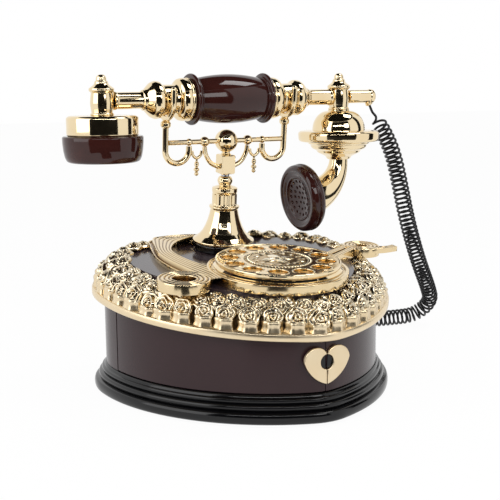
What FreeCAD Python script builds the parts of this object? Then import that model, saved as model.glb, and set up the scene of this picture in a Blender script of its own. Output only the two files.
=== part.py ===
import FreeCAD, Part
import math
import os
import re

import Sketcher
from FreeCAD import Placement, Rotation, Vector

# Driving dimensions in millimetres and degrees, one cell each.
SIZES = {
    # small chamfer shared by the turned pieces
    "edge_break": 1.5,
    # heart-shaped plan, at the lowest step of the plinth
    "half_width": 121,
    "tip_reach": 112,
    "tip_round": 42,
    "widest_y": 40,
    "lobe_radius": 80,
    "cleft_radius": 30,
    # plinth: four moulded steps on rubber feet
    "foot_height": 2,
    "foot_radius": 9,
    "foot_front_x": 62,
    "foot_front_y": 48,
    "foot_back_x": 58,
    "foot_back_y": 74,
    "step_one_top": 9,
    "step_two_top": 14,
    "step_three_top": 18.5,
    "plinth_top": 22,
    "step_two_inset": 3.5,
    "step_three_inset": 5.5,
    "step_four_inset": 7.5,
    # brown wall, split into a fixed back and two swinging drawers
    "wall_inset": 10,
    "wall_thick": 5,
    "hinge_y": 26,
    "hinge_pin_radius": 1.3,
    "pin_clearance": 0.06,
    "seam": 0.6,
    "drawer_head": 1.2,
    "tray_wall": 2.5,
    "tray_floor": 3,
    "tray_height": 32,
    "tray_back": 8,
    "tray_fit": 0.2,
    "lining_thick": 1,
    "spine_y": 12,
    "spine_thick": 5,
    "spine_half_width": 92,
    # heart-shaped drawer pull, cut in two along the seam
    "pull_low": 28.6,
    "pull_tall": 28,
    "pull_half_width": 19.2,
    "pull_cleft_depth": 4.8,
    "pull_thick": 2.6,
    "pull_eye_radius": 5.5,
    "pull_eye_height": 16.8,
    "pull_side_height": 18.6,
    # sloping top
    "top_tilt": 5.41,
    "rim_height": 72.5,
    "rim_thick": 6,
    "rim_opening_inset": 55,
    "border_inset": 3,
    "border_step": 4,
    "border_low_top": 17,
    "border_mid_top": 22,
    "border_top": 25.5,
    "board_inset": 29,
    "board_top": 27,
    "board_shell": 4,
    "board_fit": 0.3,
    # gilt scroll plate on the top
    "plate_thick": 7.6,
    "dial_y": -29,
    "dial_plate_radius": 55,
    "loop_left_x": -81,
    "loop_left_y": -32,
    "loop_left_radius": 20,
    "loop_left_eye": 9,
    "loop_right_x": 103,
    "loop_right_y": 8,
    "loop_right_radius": 15.5,
    "loop_right_eye": 5,
    "hook_width": 16,
    "hook_left_x": 72,
    "hook_behind": 32,
    "hook_corner_x": 55,
    "arm_width": 15,
    "tail_reach": 27,
    "tail_width": 8,
    # dial with twelve keys in a finger ring
    "key_count": 12,
    "key_ring_radius": 37.5,
    "key_radius": 6.7,
    "key_clearance": 0.3,
    "key_travel": 1.6,
    "key_proud": 1.4,
    "key_dish": 0.7,
    "dial_tub_radius": 45.7,
    "dial_tub_fit": 0.3,
    "dial_floor": 2,
    "dial_rim_radius": 50,
    "dial_rim_tall": 3.4,
    "finger_ring_radius": 48.5,
    "finger_ring_thick": 2.5,
    "finger_hole_radius": 7.6,
    "medallion_radius": 26.5,
    "medallion_fit": 0.3,
    "medallion_proud": 2,
    # bell-shaped stand
    "stand_plug_radius": 22,
    "stand_foot_radius": 26,
    "stand_foot_lip": 1.6,
    "bell_neck_radius": 11.5,
    "bell_neck_height": 29,
    "bell_flare": 34,
    "flute_band_radius": 10.3,
    "flute_band_tall": 11,
    "flute_count": 12,
    "flute_depth": 0.9,
    "stand_cap_radius": 10.6,
    "stand_cap_tall": 3.2,
    "stand_knob_radius": 6.5,
    "stand_knob_tall": 7.5,
    "plunger_radius": 3.2,
    "plunger_clearance": 0.08,
    "switch_tall": 5.5,
    "switch_wide": 12,
    "switch_deep": 20,
    "lift_gap": 0.3,
    # cradle
    "handset_rise": 154,
    "block_low": 92,
    "block_wide": 12.5,
    "block_tall": 16,
    "ball_radius": 8.2,
    "bar_gap": 11.4,
    "bar_radius": 2.1,
    "bead_inner_x": 20,
    "bead_inner_radius": 4.2,
    "bead_outer_x": 34,
    "bead_outer_radius": 3,
    "fork_x": 55,
    "fork_wire_radius": 2.5,
    "fork_bend_drop": 6.4,
    "fork_collar_radius": 4.2,
    "fork_finger_up": 9,
    "stay_wire_radius": 2,
    "stay_bow": 3,
    "pendant_radius": 2.4,
    "pendant_drop": 15,
    "garland_drop": 6,
    "garland_wire_radius": 1.3,
    # handset, along X
    "barrel_half": 35,
    "barrel_mid_radius": 20,
    "barrel_end_radius": 16.6,
    "barrel_flange_radius": 20.7,
    "barrel_flange_thick": 4.4,
    "collar_radius": 17,
    "collar_end": 46,
    "neck_radius": 12,
    "knob_start": 60.5,
    "knob_radius": 15,
    "knob_end": 74,
    "tube_radius": 6.6,
    "tube_socket_radius": 8,
    "post_x": 109,
    "post_radius": 9.2,
    "post_waist_radius": 8.2,
    "post_low": 11,
    "post_high": 8,
    "post_fit": 0.05,
    "finial_tall": 11.5,
    "finial_ring_radius": 9.9,
    "drum_radius": 28,
    "drum_tall": 15.6,
    "ear_radius": 31.5,
    "ear_tall": 20.6,
    "ear_mouth_radius": 27,
    "ear_dish": 3,
    "ear_lip": 3,
    "dome_radius": 23,
    "dome_tall": 18,
    "disc_radius": 35.5,
    "disc_thick": 8,
    "under_disc_radius": 24.8,
    "under_disc_tall": 17,
    "horn_throat_radius": 8,
    "horn_mouth_radius": 17,
    "horn_bend": 31,
    "mouth_radius": 29.5,
    "mouth_thick": 16,
    "mouth_dish": 5,
    "mouth_lip": 7.5,
    "mouth_row_step": 4.5,
    "mouth_hole_radius": 0.8,
    "mouth_nod": 7,
    "tail_tube_long": 36,
    "tail_tube_radius": 6.2,
    "cord_socket_inset": 7,
    "cord_socket_radius": 3.2,
    "cord_socket_drop": 2,
    "cord_socket_lean": 25,
    # curly cord
    "cord_wire_radius": 1.1,
    "cord_curl_radius": 6.8,
    "cord_curls": 82,
    "gland_angle": 40,
    "gland_height": 33,
    "gland_radius": 4.5,
    "gland_reach": 6,
    # inside the base
    "circuit_wide": 90,
    "circuit_deep": 34,
    "circuit_thick": 1.6,
    "circuit_y": 46,
    "standoff_tall": 5,
    "standoff_radius": 2.5,
    "ringer_radius": 17,
    "ringer_tall": 14,
    "ringer_gap": 6,
}

doc = FreeCAD.newDocument("cradle_phone")
sheet = doc.addObject("Spreadsheet::Sheet", "sizes")
for row, (name, number) in enumerate(SIZES.items(), 1):
    sheet.set(f"A{row}", name)
    sheet.set(f"B{row}", str(number))
    sheet.setAlias(f"B{row}", name)
doc.recompute()

# Every finished sub-part, by the name of its file.
PARTS = {}


def formula(text):
    """The text with each size's name turned into its cell in the sheet."""
    return re.sub(r"[a-z_]+", lambda m: "sizes." + m[0] if m[0] in SIZES else m[0], text)


def value(text):
    """The number that a formula gives now."""
    return float(sheet.evalExpression(formula(text)))


def bind(obj, **texts):
    """Ties properties to formulas; a double underscore stands for a dot."""
    for name, text in texts.items():
        obj.setExpression(name.replace("__", "."), formula(text))


def at(obj, x="0", y="0", z="0", turn=None):
    """Puts a building block at a place in its sub-part's own frame."""
    obj.Placement = Placement(Vector(), turn or Rotation())
    bind(obj, Placement__Base__x=x, Placement__Base__y=y, Placement__Base__z=z)
    return obj


STAND_Y = "(lobe_radius * 0.8)"
HANDSET_Y = f"({STAND_Y} * cos(top_tilt) - handset_rise * sin(top_tilt))"
HANDSET_Z = f"(rim_height + {STAND_Y} * sin(top_tilt) + handset_rise * cos(top_tilt))"


def keep(label, obj, frame="ground", x="0", y="0", z="0", turn=None):
    """Names a finished sub-part and puts it in the ground, top or handset frame."""
    obj.Label = label
    PARTS[label] = obj
    if frame == "top":
        at(obj, x, f"({y}) * cos(top_tilt) - ({z}) * sin(top_tilt)",
           f"rim_height + ({y}) * sin(top_tilt) + ({z}) * cos(top_tilt)",
           Rotation(Vector(1, 0, 0), value("top_tilt")))
        bind(obj, Placement__Rotation__Angle="top_tilt")
    elif frame == "handset":
        at(obj, x, f"{HANDSET_Y} + {y}", f"{HANDSET_Z} + {z}", turn)
    else:
        at(obj, x, y, z, turn)
    return obj


def block(kind, name, place=(), turn=None, **texts):
    """A bound Part primitive such as a Box or a Cylinder."""
    obj = doc.addObject("Part::" + kind, name)
    bind(obj, **texts)
    return at(obj, *place, turn=turn)


def join(kind, name, base, tool):
    """A Cut, Common or Fuse of two objects."""
    obj = doc.addObject("Part::" + kind, name)
    obj.Base = base
    obj.Tool = tool
    return obj


def group(name, members):
    """Several separate solids in one node."""
    obj = doc.addObject("Part::Compound", name)
    obj.Links = members
    return obj


def sketch_on(body, name, role, height="0"):
    """A sketch on one of a body's own origin planes, lifted along its normal."""
    sketch = body.newObject("Sketcher::SketchObject", name)
    plane = [f for f in body.Origin.OriginFeatures if f.Role == role][0]
    sketch.AttachmentSupport = (plane, "")
    sketch.MapMode = "FlatFace"
    bind(sketch, AttachmentOffset__Base__z=height)
    return sketch


def hold(sketch, kind, geometry, end, text, now):
    """Ties one coordinate of a sketch point to a formula, or to an axis where it is nought."""
    if text == "0":
        axis = -2 if kind == "DistanceX" else -1
        sketch.addConstraint(Sketcher.Constraint("PointOnObject", geometry, end, axis))
        return
    row = sketch.addConstraint(Sketcher.Constraint(kind, geometry, end, now))
    sketch.setExpression(f"Constraints[{row}]", formula(text))


def draw(sketch, corners):
    """A closed outline. A corner is (x, y), or (x, y, radius) where an arc leaves it for the next
    corner: anticlockwise, or clockwise with a minus sign before the radius."""
    spots = [Vector(value(c[0]), value(c[1]), 0) for c in corners]
    ends = []
    for k, corner in enumerate(corners):
        start, stop = spots[k], spots[(k + 1) % len(spots)]
        if len(corner) == 2:
            sketch.addGeometry(Part.LineSegment(start, stop), False)
            ends.append((1, 2))
            continue
        radius = value(corner[2])
        chord = stop - start
        rise = math.sqrt(max(radius ** 2 - (chord.Length / 2) ** 2, 0))
        left = Vector(-chord.y, chord.x, 0).normalize()
        centre = (start + stop) / 2 + left * math.copysign(rise, radius)
        first, last = (start, stop) if radius > 0 else (stop, start)
        low = math.atan2(first.y - centre.y, first.x - centre.x)
        high = math.atan2(last.y - centre.y, last.x - centre.x)
        if high < low:
            high += 2 * math.pi
        circle = Part.Circle(centre, Vector(0, 0, 1), abs(radius))
        sketch.addGeometry(Part.ArcOfCircle(circle, low, high), False)
        ends.append((1, 2) if radius > 0 else (2, 1))
    for k, corner in enumerate(corners):
        last = k - 1 if k else len(corners) - 1
        sketch.addConstraint(Sketcher.Constraint("Coincident", last, ends[last][1], k, ends[k][0]))
    for k, corner in enumerate(corners):
        hold(sketch, "DistanceX", k, ends[k][0], corner[0], spots[k].x)
        hold(sketch, "DistanceY", k, ends[k][0], corner[1], spots[k].y)
        if len(corner) == 3:
            row = sketch.addConstraint(Sketcher.Constraint("Radius", k, abs(value(corner[2]))))
            sketch.setExpression(f"Constraints[{row}]", formula(f"abs({corner[2]})"))


def draw_circle(sketch, x, y, radius):
    """A full circle tied to its centre and radius."""
    circle = Part.Circle(Vector(value(x), value(y), 0), Vector(0, 0, 1), value(radius))
    sketch.addGeometry(circle, False)
    hold(sketch, "DistanceX", 0, 3, x, value(x))
    hold(sketch, "DistanceY", 0, 3, y, value(y))
    row = sketch.addConstraint(Sketcher.Constraint("Radius", 0, value(radius)))
    sketch.setExpression(f"Constraints[{row}]", formula(radius))


def outline(body, name, shape, height):
    """A level sketch of a list of corners, or of a circle given as (x, y, radius)."""
    sketch = sketch_on(body, name + "_outline", "XY_Plane", height)
    if isinstance(shape, tuple):
        draw_circle(sketch, *shape)
    else:
        draw(sketch, shape)
    return sketch


def pad(body, name, shape, low, high):
    """Adds a flat layer between two heights."""
    feature = body.newObject("PartDesign::Pad", name)
    feature.Profile = outline(body, name, shape, low)
    bind(feature, Length=f"({high}) - ({low})")
    return feature


def pocket(body, name, shape, low, high):
    """Takes away what lies inside an outline, from the upper height down to the lower."""
    feature = body.newObject("PartDesign::Pocket", name)
    feature.Profile = outline(body, name, shape, high)
    bind(feature, Length=f"({high}) - ({low})")
    return feature


def around(body, name, feature):
    """Repeats a feature in step with the keys."""
    copies = body.newObject("PartDesign::PolarPattern", name)
    copies.Originals = [feature]
    copies.Axis = (feature.Profile[0], ["N_Axis"])
    copies.Angle = 360
    bind(copies, Occurrences="key_count")
    body.Tip = copies


def new_body(name):
    return doc.addObject("PartDesign::Body", name)


def turned(name, corners, axis="V_Axis"):
    """A turned piece: its half profile, in X and Z, spun about Z or, with H_Axis, about X."""
    body = new_body(name)
    sketch = sketch_on(body, name + "_profile", "XZ_Plane")
    draw(sketch, corners)
    spin = body.newObject("PartDesign::Revolution", name + "_spin")
    spin.Profile = sketch
    spin.ReferenceAxis = (sketch, [axis])
    spin.Angle = 360
    return body


def rod(edges, radius):
    """A round wire along straight and curved edges."""
    path = Part.Wire(Part.__sortEdges__(edges))
    first = path.OrderedEdges[0]
    start = path.OrderedVertexes[0].Point
    along = first.tangentAt(first.FirstParameter)
    if first.valueAt(first.FirstParameter).distanceToPoint(start) > 1e-6:
        along = first.tangentAt(first.LastParameter) * -1
    section = Part.Wire(Part.makeCircle(radius, start, along))
    return path.makePipeShell([section], True, False)


def line(start, stop):
    return Part.LineSegment(start, stop).toShape()


def bow(start, middle, stop):
    return Part.Arc(start, middle, stop).toShape()


def cap_radius(half, rise):
    """The radius of a shallow round cap, from its half width and its rise."""
    return f"((({half}) ^ 2 + ({rise}) ^ 2) / (2 * ({rise})))"


def formed(name, shape):
    """A sub-part whose shape is worked out here from the sheet's values."""
    obj = doc.addObject("Part::Feature", name)
    obj.Shape = shape
    return obj


# The heart plan: a rounded tip, two wide front arcs, two back lobes and a hollow arc at the cleft.
# tip_reach is where the front arcs would meet.
FRONT = "((half_width ^ 2 + (widest_y + tip_reach) ^ 2) / (2 * half_width))"
LOBE_X = "(half_width - lobe_radius)"
CLEFT_RISE = f"sqrt((lobe_radius + cleft_radius) ^ 2 - {LOBE_X} ^ 2)"


TIP_Y = f"(widest_y - sqrt(({FRONT} - tip_round) ^ 2 - ({FRONT} - half_width) ^ 2))"


def heart_tip(inset):
    return f"({TIP_Y} - tip_round + ({inset}))"


def rounded_tip(inset):
    """The two ends of the tip's arc, where the front arcs start."""
    share = f"((tip_round - ({inset})) / ({FRONT} - tip_round))"
    x = f"{share} * ({FRONT} - half_width)"
    y = f"{TIP_Y} - {share} * (widest_y - {TIP_Y})"
    return [(f"-({x})", y, f"tip_round - ({inset})"), (x, y, f"{FRONT} - ({inset})")]


def sharp_tip(inset):
    """The tip further in than its rounding, where the front arcs meet."""
    y = f"widest_y - sqrt(({FRONT} - ({inset})) ^ 2 - ({FRONT} - half_width) ^ 2)"
    return [("0", y, f"{FRONT} - ({inset})")]


def heart(inset, tip=rounded_tip):
    """The plan drawn in from the plinth's edge by an inset, anticlockwise from the tip."""
    share = f"((lobe_radius - ({inset})) / (lobe_radius + cleft_radius))"
    cleft_x = f"{LOBE_X} * (1 - {share})"
    cleft_y = f"widest_y + {share} * {CLEFT_RISE}"
    side = f"half_width - ({inset})"
    return [
        *tip(inset),
        (side, "widest_y", f"lobe_radius - ({inset})"),
        (cleft_x, cleft_y, f"-(cleft_radius + ({inset}))"),
        (f"-({cleft_x})", cleft_y, f"lobe_radius - ({inset})"),
        (f"-({side})", "widest_y", f"{FRONT} - ({inset})"),
    ]


# Plinth and feet
plinth = new_body("plinth")
pad(plinth, "step_one", heart("0"), "foot_height", "step_one_top")
pad(plinth, "step_two", heart("step_two_inset"), "step_one_top", "step_two_top")
pad(plinth, "step_three", heart("step_three_inset"), "step_two_top", "step_three_top")
pad(plinth, "step_four", heart("step_four_inset"), "step_three_top", "plinth_top")
keep("plinth", plinth)

feet = [block("Cylinder", "middle_foot", Radius="foot_radius", Height="foot_height")]
for side in ("-1", "1"):
    for part in ("front", "back"):
        sign = "-1" if part == "front" else "1"
        place = (f"{side} * foot_{part}_x", f"{sign} * foot_{part}_y")
        feet.append(block("Cylinder", "foot", place, Radius="foot_radius", Height="foot_height"))
keep("rubber_feet", group("rubber_feet", feet))

# The brown wall, as one ring that is then shared out
SPAN = "(half_width * 4)"
ring = new_body("wall_ring")
pad(ring, "wall_outside", heart("wall_inset"), "plinth_top", "rim_height + half_width")
INNER = "(wall_inset + wall_thick)"
pocket(ring, "wall_inside", heart(INNER), "plinth_top", "rim_height + half_width")


def slab(name, gap):
    """The space above the sloping top's underside, lowered by a gap."""
    box = block("Box", name, Length=SPAN, Width=SPAN, Height=SPAN)
    at(box, f"-{SPAN} / 2", f"-{SPAN} / 2 * cos(top_tilt) + ({gap}) * sin(top_tilt)",
       f"rim_height - {SPAN} / 2 * sin(top_tilt) - ({gap}) * cos(top_tilt)",
       Rotation(Vector(1, 0, 0), value("top_tilt")))
    bind(box, Placement__Rotation__Angle="top_tilt")
    return box


back_box = block("Box", "back_space", (f"-{SPAN} / 2", "hinge_y + wall_thick / 2 + seam", "0"),
                 Length=SPAN, Width=SPAN, Height=SPAN)
back_ring = join("Common", "back_ring", ring, back_box)
keep("rear_shell", join("Cut", "rear_shell", back_ring, slab("above_rear", "0")))

spine = block("Box", "spine_blank", ("-spine_half_width", "spine_y", "plinth_top"),
              Length="2 * spine_half_width", Width="spine_thick", Height="rim_height")
keep("spine_wall", join("Cut", "spine_wall", spine, slab("above_spine", "0")))

# Swinging drawers: a curved front with a round pivot end, a tray, its lining and half the pull
PIVOT_X = (f"(sqrt(({FRONT} - wall_inset - wall_thick / 2) ^ 2 - (widest_y - hinge_y) ^ 2)"
           f" - ({FRONT} - half_width))")
for side, sign in (("left", "-1"), ("right", "1")):
    corner = f"-{SPAN}" if side == "left" else "seam / 2"
    front_box = block("Box", side + "_front_space", (corner, f"hinge_y - {SPAN}", "0"),
                      Length=f"{SPAN} - seam / 2" if side == "left" else SPAN, Width=SPAN, Height=SPAN)
    front = join("Common", side + "_front_ring", ring, front_box)
    pivot = (f"{sign} * {PIVOT_X}", "hinge_y")
    end = block("Cylinder", side + "_pivot_end", pivot + ("plinth_top",),
                Radius="wall_thick / 2", Height="rim_height")
    front = join("Fuse", side + "_front_end", front, end)
    bore = block("Cylinder", side + "_pivot_bore", pivot,
                 Radius="hinge_pin_radius + pin_clearance", Height=SPAN)
    front = join("Cut", side + "_front_bored", front, bore)
    floor_gap = block("Box", side + "_under_front", (f"-{SPAN} / 2", f"-{SPAN} / 2", "0"),
                      Length=SPAN, Width=SPAN, Height="plinth_top + seam")
    front = join("Cut", side + "_front_low", front, floor_gap)
    front = join("Cut", "drawer_front_" + side, front, slab(side + "_above_front", "drawer_head"))
    keep("drawer_front_" + side, front)

    pin = block("Cylinder", side + "_pin", pivot + ("plinth_top",),
                Radius="hinge_pin_radius", Height="rim_height")
    keep("hinge_pin_" + side, join("Cut", "hinge_pin_" + side, pin, slab(side + "_above_pin", "0")))

    def tray_layer(name, inset, low, high):
        """The half of the heart that a drawer fills, drawn in by a wall."""
        body = new_body(name + "_heart")
        pad(body, name + "_pad", heart(f"({INNER} + tray_fit + {inset})"), low, high)
        start = f"-{SPAN}" if side == "left" else f"seam + {inset}"
        half = block("Box", name + "_half", (start, f"tray_back - {inset} - {SPAN}", "0"),
                     Length=f"{SPAN} - seam - {inset}" if side == "left" else SPAN,
                     Width=SPAN, Height=SPAN)
        return join("Common", name, body, half)

    TRAY_LOW = "(plinth_top + seam)"
    outer = tray_layer(side + "_tray_outer", "0", TRAY_LOW, f"{TRAY_LOW} + tray_height")
    inner = tray_layer(side + "_tray_inner", "tray_wall", f"{TRAY_LOW} + tray_floor",
                       f"{TRAY_LOW} + tray_height + seam")
    keep("drawer_tray_" + side, join("Cut", "drawer_tray_" + side, outer, inner))
    lining = tray_layer("drawer_lining_" + side, "(tray_wall + tray_fit)", f"{TRAY_LOW} + tray_floor",
                        f"{TRAY_LOW} + tray_floor + lining_thick")
    keep("drawer_lining_" + side, lining)

    # half a heart, seen from the front, with half of the round eye on the seam
    pull = new_body("drawer_pull_" + side)
    sketch = sketch_on(pull, side + "_pull_outline", "XZ_Plane")
    edge = f"{sign} * seam / 2"
    flank = f"{sign} * pull_half_width"
    eye_rise = "sqrt(pull_eye_radius ^ 2 - (seam / 2) ^ 2)"
    draw(sketch, [
        (edge, "0", f"{sign} * pull_tall"),
        (flank, "pull_side_height", f"{sign} * pull_half_width / 2"),
        (f"{sign} * pull_half_width / 2", "pull_tall", f"{sign} * pull_half_width / 2"),
        (edge, "pull_tall - pull_cleft_depth"),
        (edge, f"pull_eye_height + {eye_rise}", f"-({sign}) * pull_eye_radius"),
        (f"{sign} * pull_eye_radius", "pull_eye_height", f"-({sign}) * pull_eye_radius"),
        (edge, f"pull_eye_height - {eye_rise}"),
    ])
    plate = pull.newObject("PartDesign::Pad", side + "_pull_plate")
    plate.Profile = sketch
    bind(plate, Length="pull_thick")
    keep("drawer_pull_" + side, pull, y=heart_tip("wall_inset"), z="pull_low")

# Sloping top: gilt rim board, carved border and dark board
rim = new_body("rim_board")
pad(rim, "rim_plate", heart("0"), "0", "rim_thick")
pocket(rim, "rim_opening", heart("rim_opening_inset", sharp_tip), "0", "rim_thick")
keep("rim_board", rim, "top")

border = new_body("rose_border")
pad(border, "border_low", heart("border_inset"), "rim_thick", "border_low_top")
pad(border, "border_mid", heart("(border_inset + border_step)"), "border_low_top", "border_mid_top")
pad(border, "border_high", heart("(border_inset + 2 * border_step)"), "border_mid_top", "border_top")
pocket(border, "border_inside", heart("board_inset"), "rim_thick", "border_top")
keep("rose_border", border, "top")

board = new_body("top_board")
pad(board, "board_block", heart("(board_inset + board_fit)"), "rim_thick", "board_top")
pocket(board, "board_hollow", heart("(board_inset + board_fit + board_shell)"),
       "rim_thick", "board_top - board_shell")
pocket(board, "plunger_way", ("0", STAND_Y, "plunger_radius + lift_gap"), "rim_thick", "board_top")
keep("top_board", board, "top")

# Gilt scroll plate: ring round the dial, hook behind the stand, a loop at each side and a tail
PLATE_TOP = "(board_top + plate_thick)"
scroll = new_body("scroll_plate")


def layer(name, shape):
    return pad(scroll, name, shape, "board_top", PLATE_TOP)


layer("dial_ring", ("0", "dial_y", "dial_plate_radius"))
LOOP_LEFT_TOP = "loop_left_y + loop_left_radius"
HOOK_BACK = f"({STAND_Y} + hook_behind)"
layer("hook", [
    ("-stand_plug_radius * 0.45", f"{HOOK_BACK} - 4", "hook_corner_x"),
    ("-hook_corner_x", HOOK_BACK),
    ("-hook_corner_x - 3", f"{HOOK_BACK} - 9", "hook_corner_x * 3"),
    ("-hook_left_x", "widest_y", "hook_corner_x * 3"),
    ("loop_left_x + loop_left_radius * 0.6", "loop_left_y + loop_left_radius * 0.5"),
    ("loop_left_x + loop_left_radius * 0.8", "loop_left_y - loop_left_radius * 0.45"),
    ("-dial_plate_radius * 0.9", "dial_y - dial_plate_radius * 0.22"),
    ("-dial_plate_radius * 0.86", "dial_y + dial_plate_radius * 0.3", "-hook_corner_x * 3"),
    ("hook_width - hook_left_x", "widest_y", "-hook_corner_x"),
    ("hook_width - hook_corner_x", f"{HOOK_BACK} - hook_width * 1.3", "-hook_corner_x"),
    ("-stand_plug_radius * 0.45", f"{HOOK_BACK} - 7"),
])
layer("loop_left", ("loop_left_x", "loop_left_y", "loop_left_radius"))
ARM_END_X = "(loop_right_x - loop_right_radius * 0.7)"
ARM_ROOT_X = "dial_plate_radius * 0.85"
layer("arm", [
    (ARM_ROOT_X, "dial_y + dial_plate_radius * 0.1"),
    (ARM_END_X, "loop_right_y - loop_right_radius * 0.5"),
    (ARM_END_X, "loop_right_y + arm_width / 2"),
    (ARM_ROOT_X, "dial_y + dial_plate_radius * 0.1 + arm_width"),
])
layer("loop_right", ("loop_right_x", "loop_right_y", "loop_right_radius"))
TAIL_Y = "(loop_right_y - loop_right_radius * 0.75)"
layer("tail", [
    ("loop_right_x - loop_right_radius * 0.4", TAIL_Y, "loop_right_radius * 2"),
    ("loop_right_x + tail_reach", f"{TAIL_Y} - tail_width / 2"),
    ("loop_right_x + tail_reach", f"{TAIL_Y} + tail_width / 2", "-loop_right_radius * 2"),
    ("loop_right_x + loop_right_radius * 0.5", "loop_right_y"),
])
pocket(scroll, "dial_bore", ("0", "dial_y", "dial_tub_radius + dial_tub_fit"), "board_top", PLATE_TOP)
pocket(scroll, "left_eye", ("loop_left_x", "loop_left_y", "loop_left_eye"), "board_top", PLATE_TOP)
pocket(scroll, "right_eye", ("loop_right_x", "loop_right_y", "loop_right_eye"), "board_top", PLATE_TOP)
keep("scroll_plate", scroll, "top")

# Dial: tub with blind key wells, finger ring, medallion and twelve keys
DIAL_TOP = f"({PLATE_TOP} + dial_rim_tall)"
WELL_LOW = "(board_top + dial_floor)"
KEY_WELL = ("key_ring_radius", "0", "key_radius + key_clearance")
dial = turned("dial_body", [
    ("0", "board_top"),
    ("dial_tub_radius", "board_top"),
    ("dial_tub_radius", PLATE_TOP),
    ("dial_rim_radius", PLATE_TOP),
    ("dial_rim_radius", f"{PLATE_TOP} + dial_rim_tall / 3"),
    ("finger_ring_radius - 1", DIAL_TOP),
    ("0", DIAL_TOP),
])
around(dial, "key_wells", pocket(dial, "key_well", KEY_WELL, WELL_LOW, DIAL_TOP))
keep("dial_body", dial, "top", y="dial_y")

RING_TOP = f"({DIAL_TOP} + finger_ring_thick)"
finger_ring = new_body("finger_ring")
pad(finger_ring, "ring_disc", ("0", "0", "finger_ring_radius"), DIAL_TOP, RING_TOP)
pocket(finger_ring, "ring_eye", ("0", "0", "medallion_radius + medallion_fit"), DIAL_TOP, RING_TOP)
finger_hole = pocket(finger_ring, "finger_hole", ("key_ring_radius", "0", "finger_hole_radius"),
                     DIAL_TOP, RING_TOP)
around(finger_ring, "finger_holes", finger_hole)
keep("finger_ring", finger_ring, "top", y="dial_y")

medallion = turned("medallion", [
    ("0", DIAL_TOP),
    ("medallion_radius", DIAL_TOP),
    ("medallion_radius", f"{RING_TOP} + medallion_proud / 2"),
    ("medallion_radius - edge_break", f"{RING_TOP} + medallion_proud / 2",
     cap_radius("medallion_radius - edge_break", "medallion_proud / 2")),
    ("0", f"{RING_TOP} + medallion_proud"),
])
keep("medallion", medallion, "top", y="dial_y")

KEY_LOW = f"({WELL_LOW} + key_travel + key_clearance)"
KEY_TOP = f"({DIAL_TOP} + key_proud)"
for k in range(int(value("key_count"))):
    key = turned(f"key_{k + 1:02d}", [
        ("0", KEY_LOW),
        ("key_radius", KEY_LOW),
        ("key_radius", f"{KEY_TOP} - key_dish"),
        ("key_radius - key_dish", KEY_TOP),
        ("key_radius * 0.7", KEY_TOP, "-" + cap_radius("key_radius * 0.7", "key_dish")),
        ("0", f"{KEY_TOP} - key_dish"),
    ])
    spread = f"{k} * 360 / key_count"
    keep(f"key_{k + 1:02d}", key, "top", x=f"key_ring_radius * cos({spread})",
         y=f"dial_y + key_ring_radius * sin({spread})")

# Bell-shaped stand, bored for the plunger, with a fluted band
BORE = "(plunger_radius + plunger_clearance)"
FOOT_TOP = f"({PLATE_TOP} + stand_foot_lip)"
NECK = f"({PLATE_TOP} + bell_neck_height)"
BAND_TOP = f"({NECK} + 1.5 + flute_band_tall)"
CAP_TOP = f"({BAND_TOP} + 1 + stand_cap_tall)"
KNOB_TOP = f"({CAP_TOP} + 2 + stand_knob_tall)"
stand = turned("bell_blank", [
    (BORE, "board_top"),
    ("stand_plug_radius", "board_top"),
    ("stand_plug_radius", PLATE_TOP),
    ("stand_foot_radius", PLATE_TOP),
    ("stand_foot_radius", FOOT_TOP, "-bell_flare"),
    ("bell_neck_radius", f"{NECK} - 1"),
    ("bell_neck_radius + 1.2", f"{NECK} - 0.5"),
    ("bell_neck_radius + 1.2", f"{NECK} + 1.5"),
    ("flute_band_radius", f"{NECK} + 1.5"),
    ("flute_band_radius", BAND_TOP),
    ("stand_cap_radius", f"{BAND_TOP} + 1"),
    ("stand_cap_radius", CAP_TOP),
    ("stand_knob_radius * 0.75", f"{CAP_TOP} + 2", "stand_knob_tall * 0.6"),
    ("stand_knob_radius * 0.75", KNOB_TOP),
    (BORE, KNOB_TOP),
])
flutes = []
for k in range(int(value("flute_count"))):
    spread = f"{k} * 360 / flute_count"
    reach = "flute_band_radius"
    flutes.append(block("Cylinder", "flute", (f"{reach} * cos({spread})", f"{reach} * sin({spread})",
                                              f"{NECK} + 2.5"),
                        Radius="flute_depth", Height="flute_band_tall - 2"))
keep("bell_stand", join("Cut", "bell_stand", stand, group("flutes", flutes)), "top", y=STAND_Y)

switch = block("Box", "hook_switch", Length="switch_wide", Width="switch_deep", Height="switch_tall")
keep("hook_switch", switch, "top", "-switch_wide / 2", f"{STAND_Y} - switch_deep * 0.7", "rim_thick")

# Cradle: plunger, block with its ball, cross bar, two wire forks, stays and pendants
BAR_RISE = "(block_low + block_tall + bar_gap)"
FORK_BEND = f"({BAR_RISE} - fork_bend_drop)"
PLUNGER_LOW = "(rim_thick + switch_tall + lift_gap)"
plunger = block("Cylinder", "plunger", Radius="plunger_radius", Height=f"block_low - {PLUNGER_LOW}")
keep("plunger", plunger, "top", y=STAND_Y, z=PLUNGER_LOW)

cube = block("Box", "cradle_cube", ("-block_wide / 2", "-block_wide / 2", "block_low"),
             Length="block_wide", Width="block_wide", Height="block_tall")
ball_neck = block("Cylinder", "ball_neck", ("0", "0", "block_low"),
                  Radius="block_wide * 0.3", Height=f"{BAR_RISE} - block_low")
ball_seat = block("Sphere", "ball_seat", ("0", "0", BAR_RISE), Radius="ball_radius")
blank = join("Fuse", "cradle_blank", cube, ball_neck)
keep("cradle_block", join("Cut", "cradle_block", blank, ball_seat), "top", y=STAND_Y)


def bead(x, radius):
    """A bead on the bar, from its right shoulder over its crown to its left one."""
    half = f"sqrt({radius} ^ 2 - bar_radius ^ 2)"
    return [
        (f"{x} + {half}", "bar_radius", radius),
        (x, radius, radius),
        (f"{x} - {half}", "bar_radius"),
    ]


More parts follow.
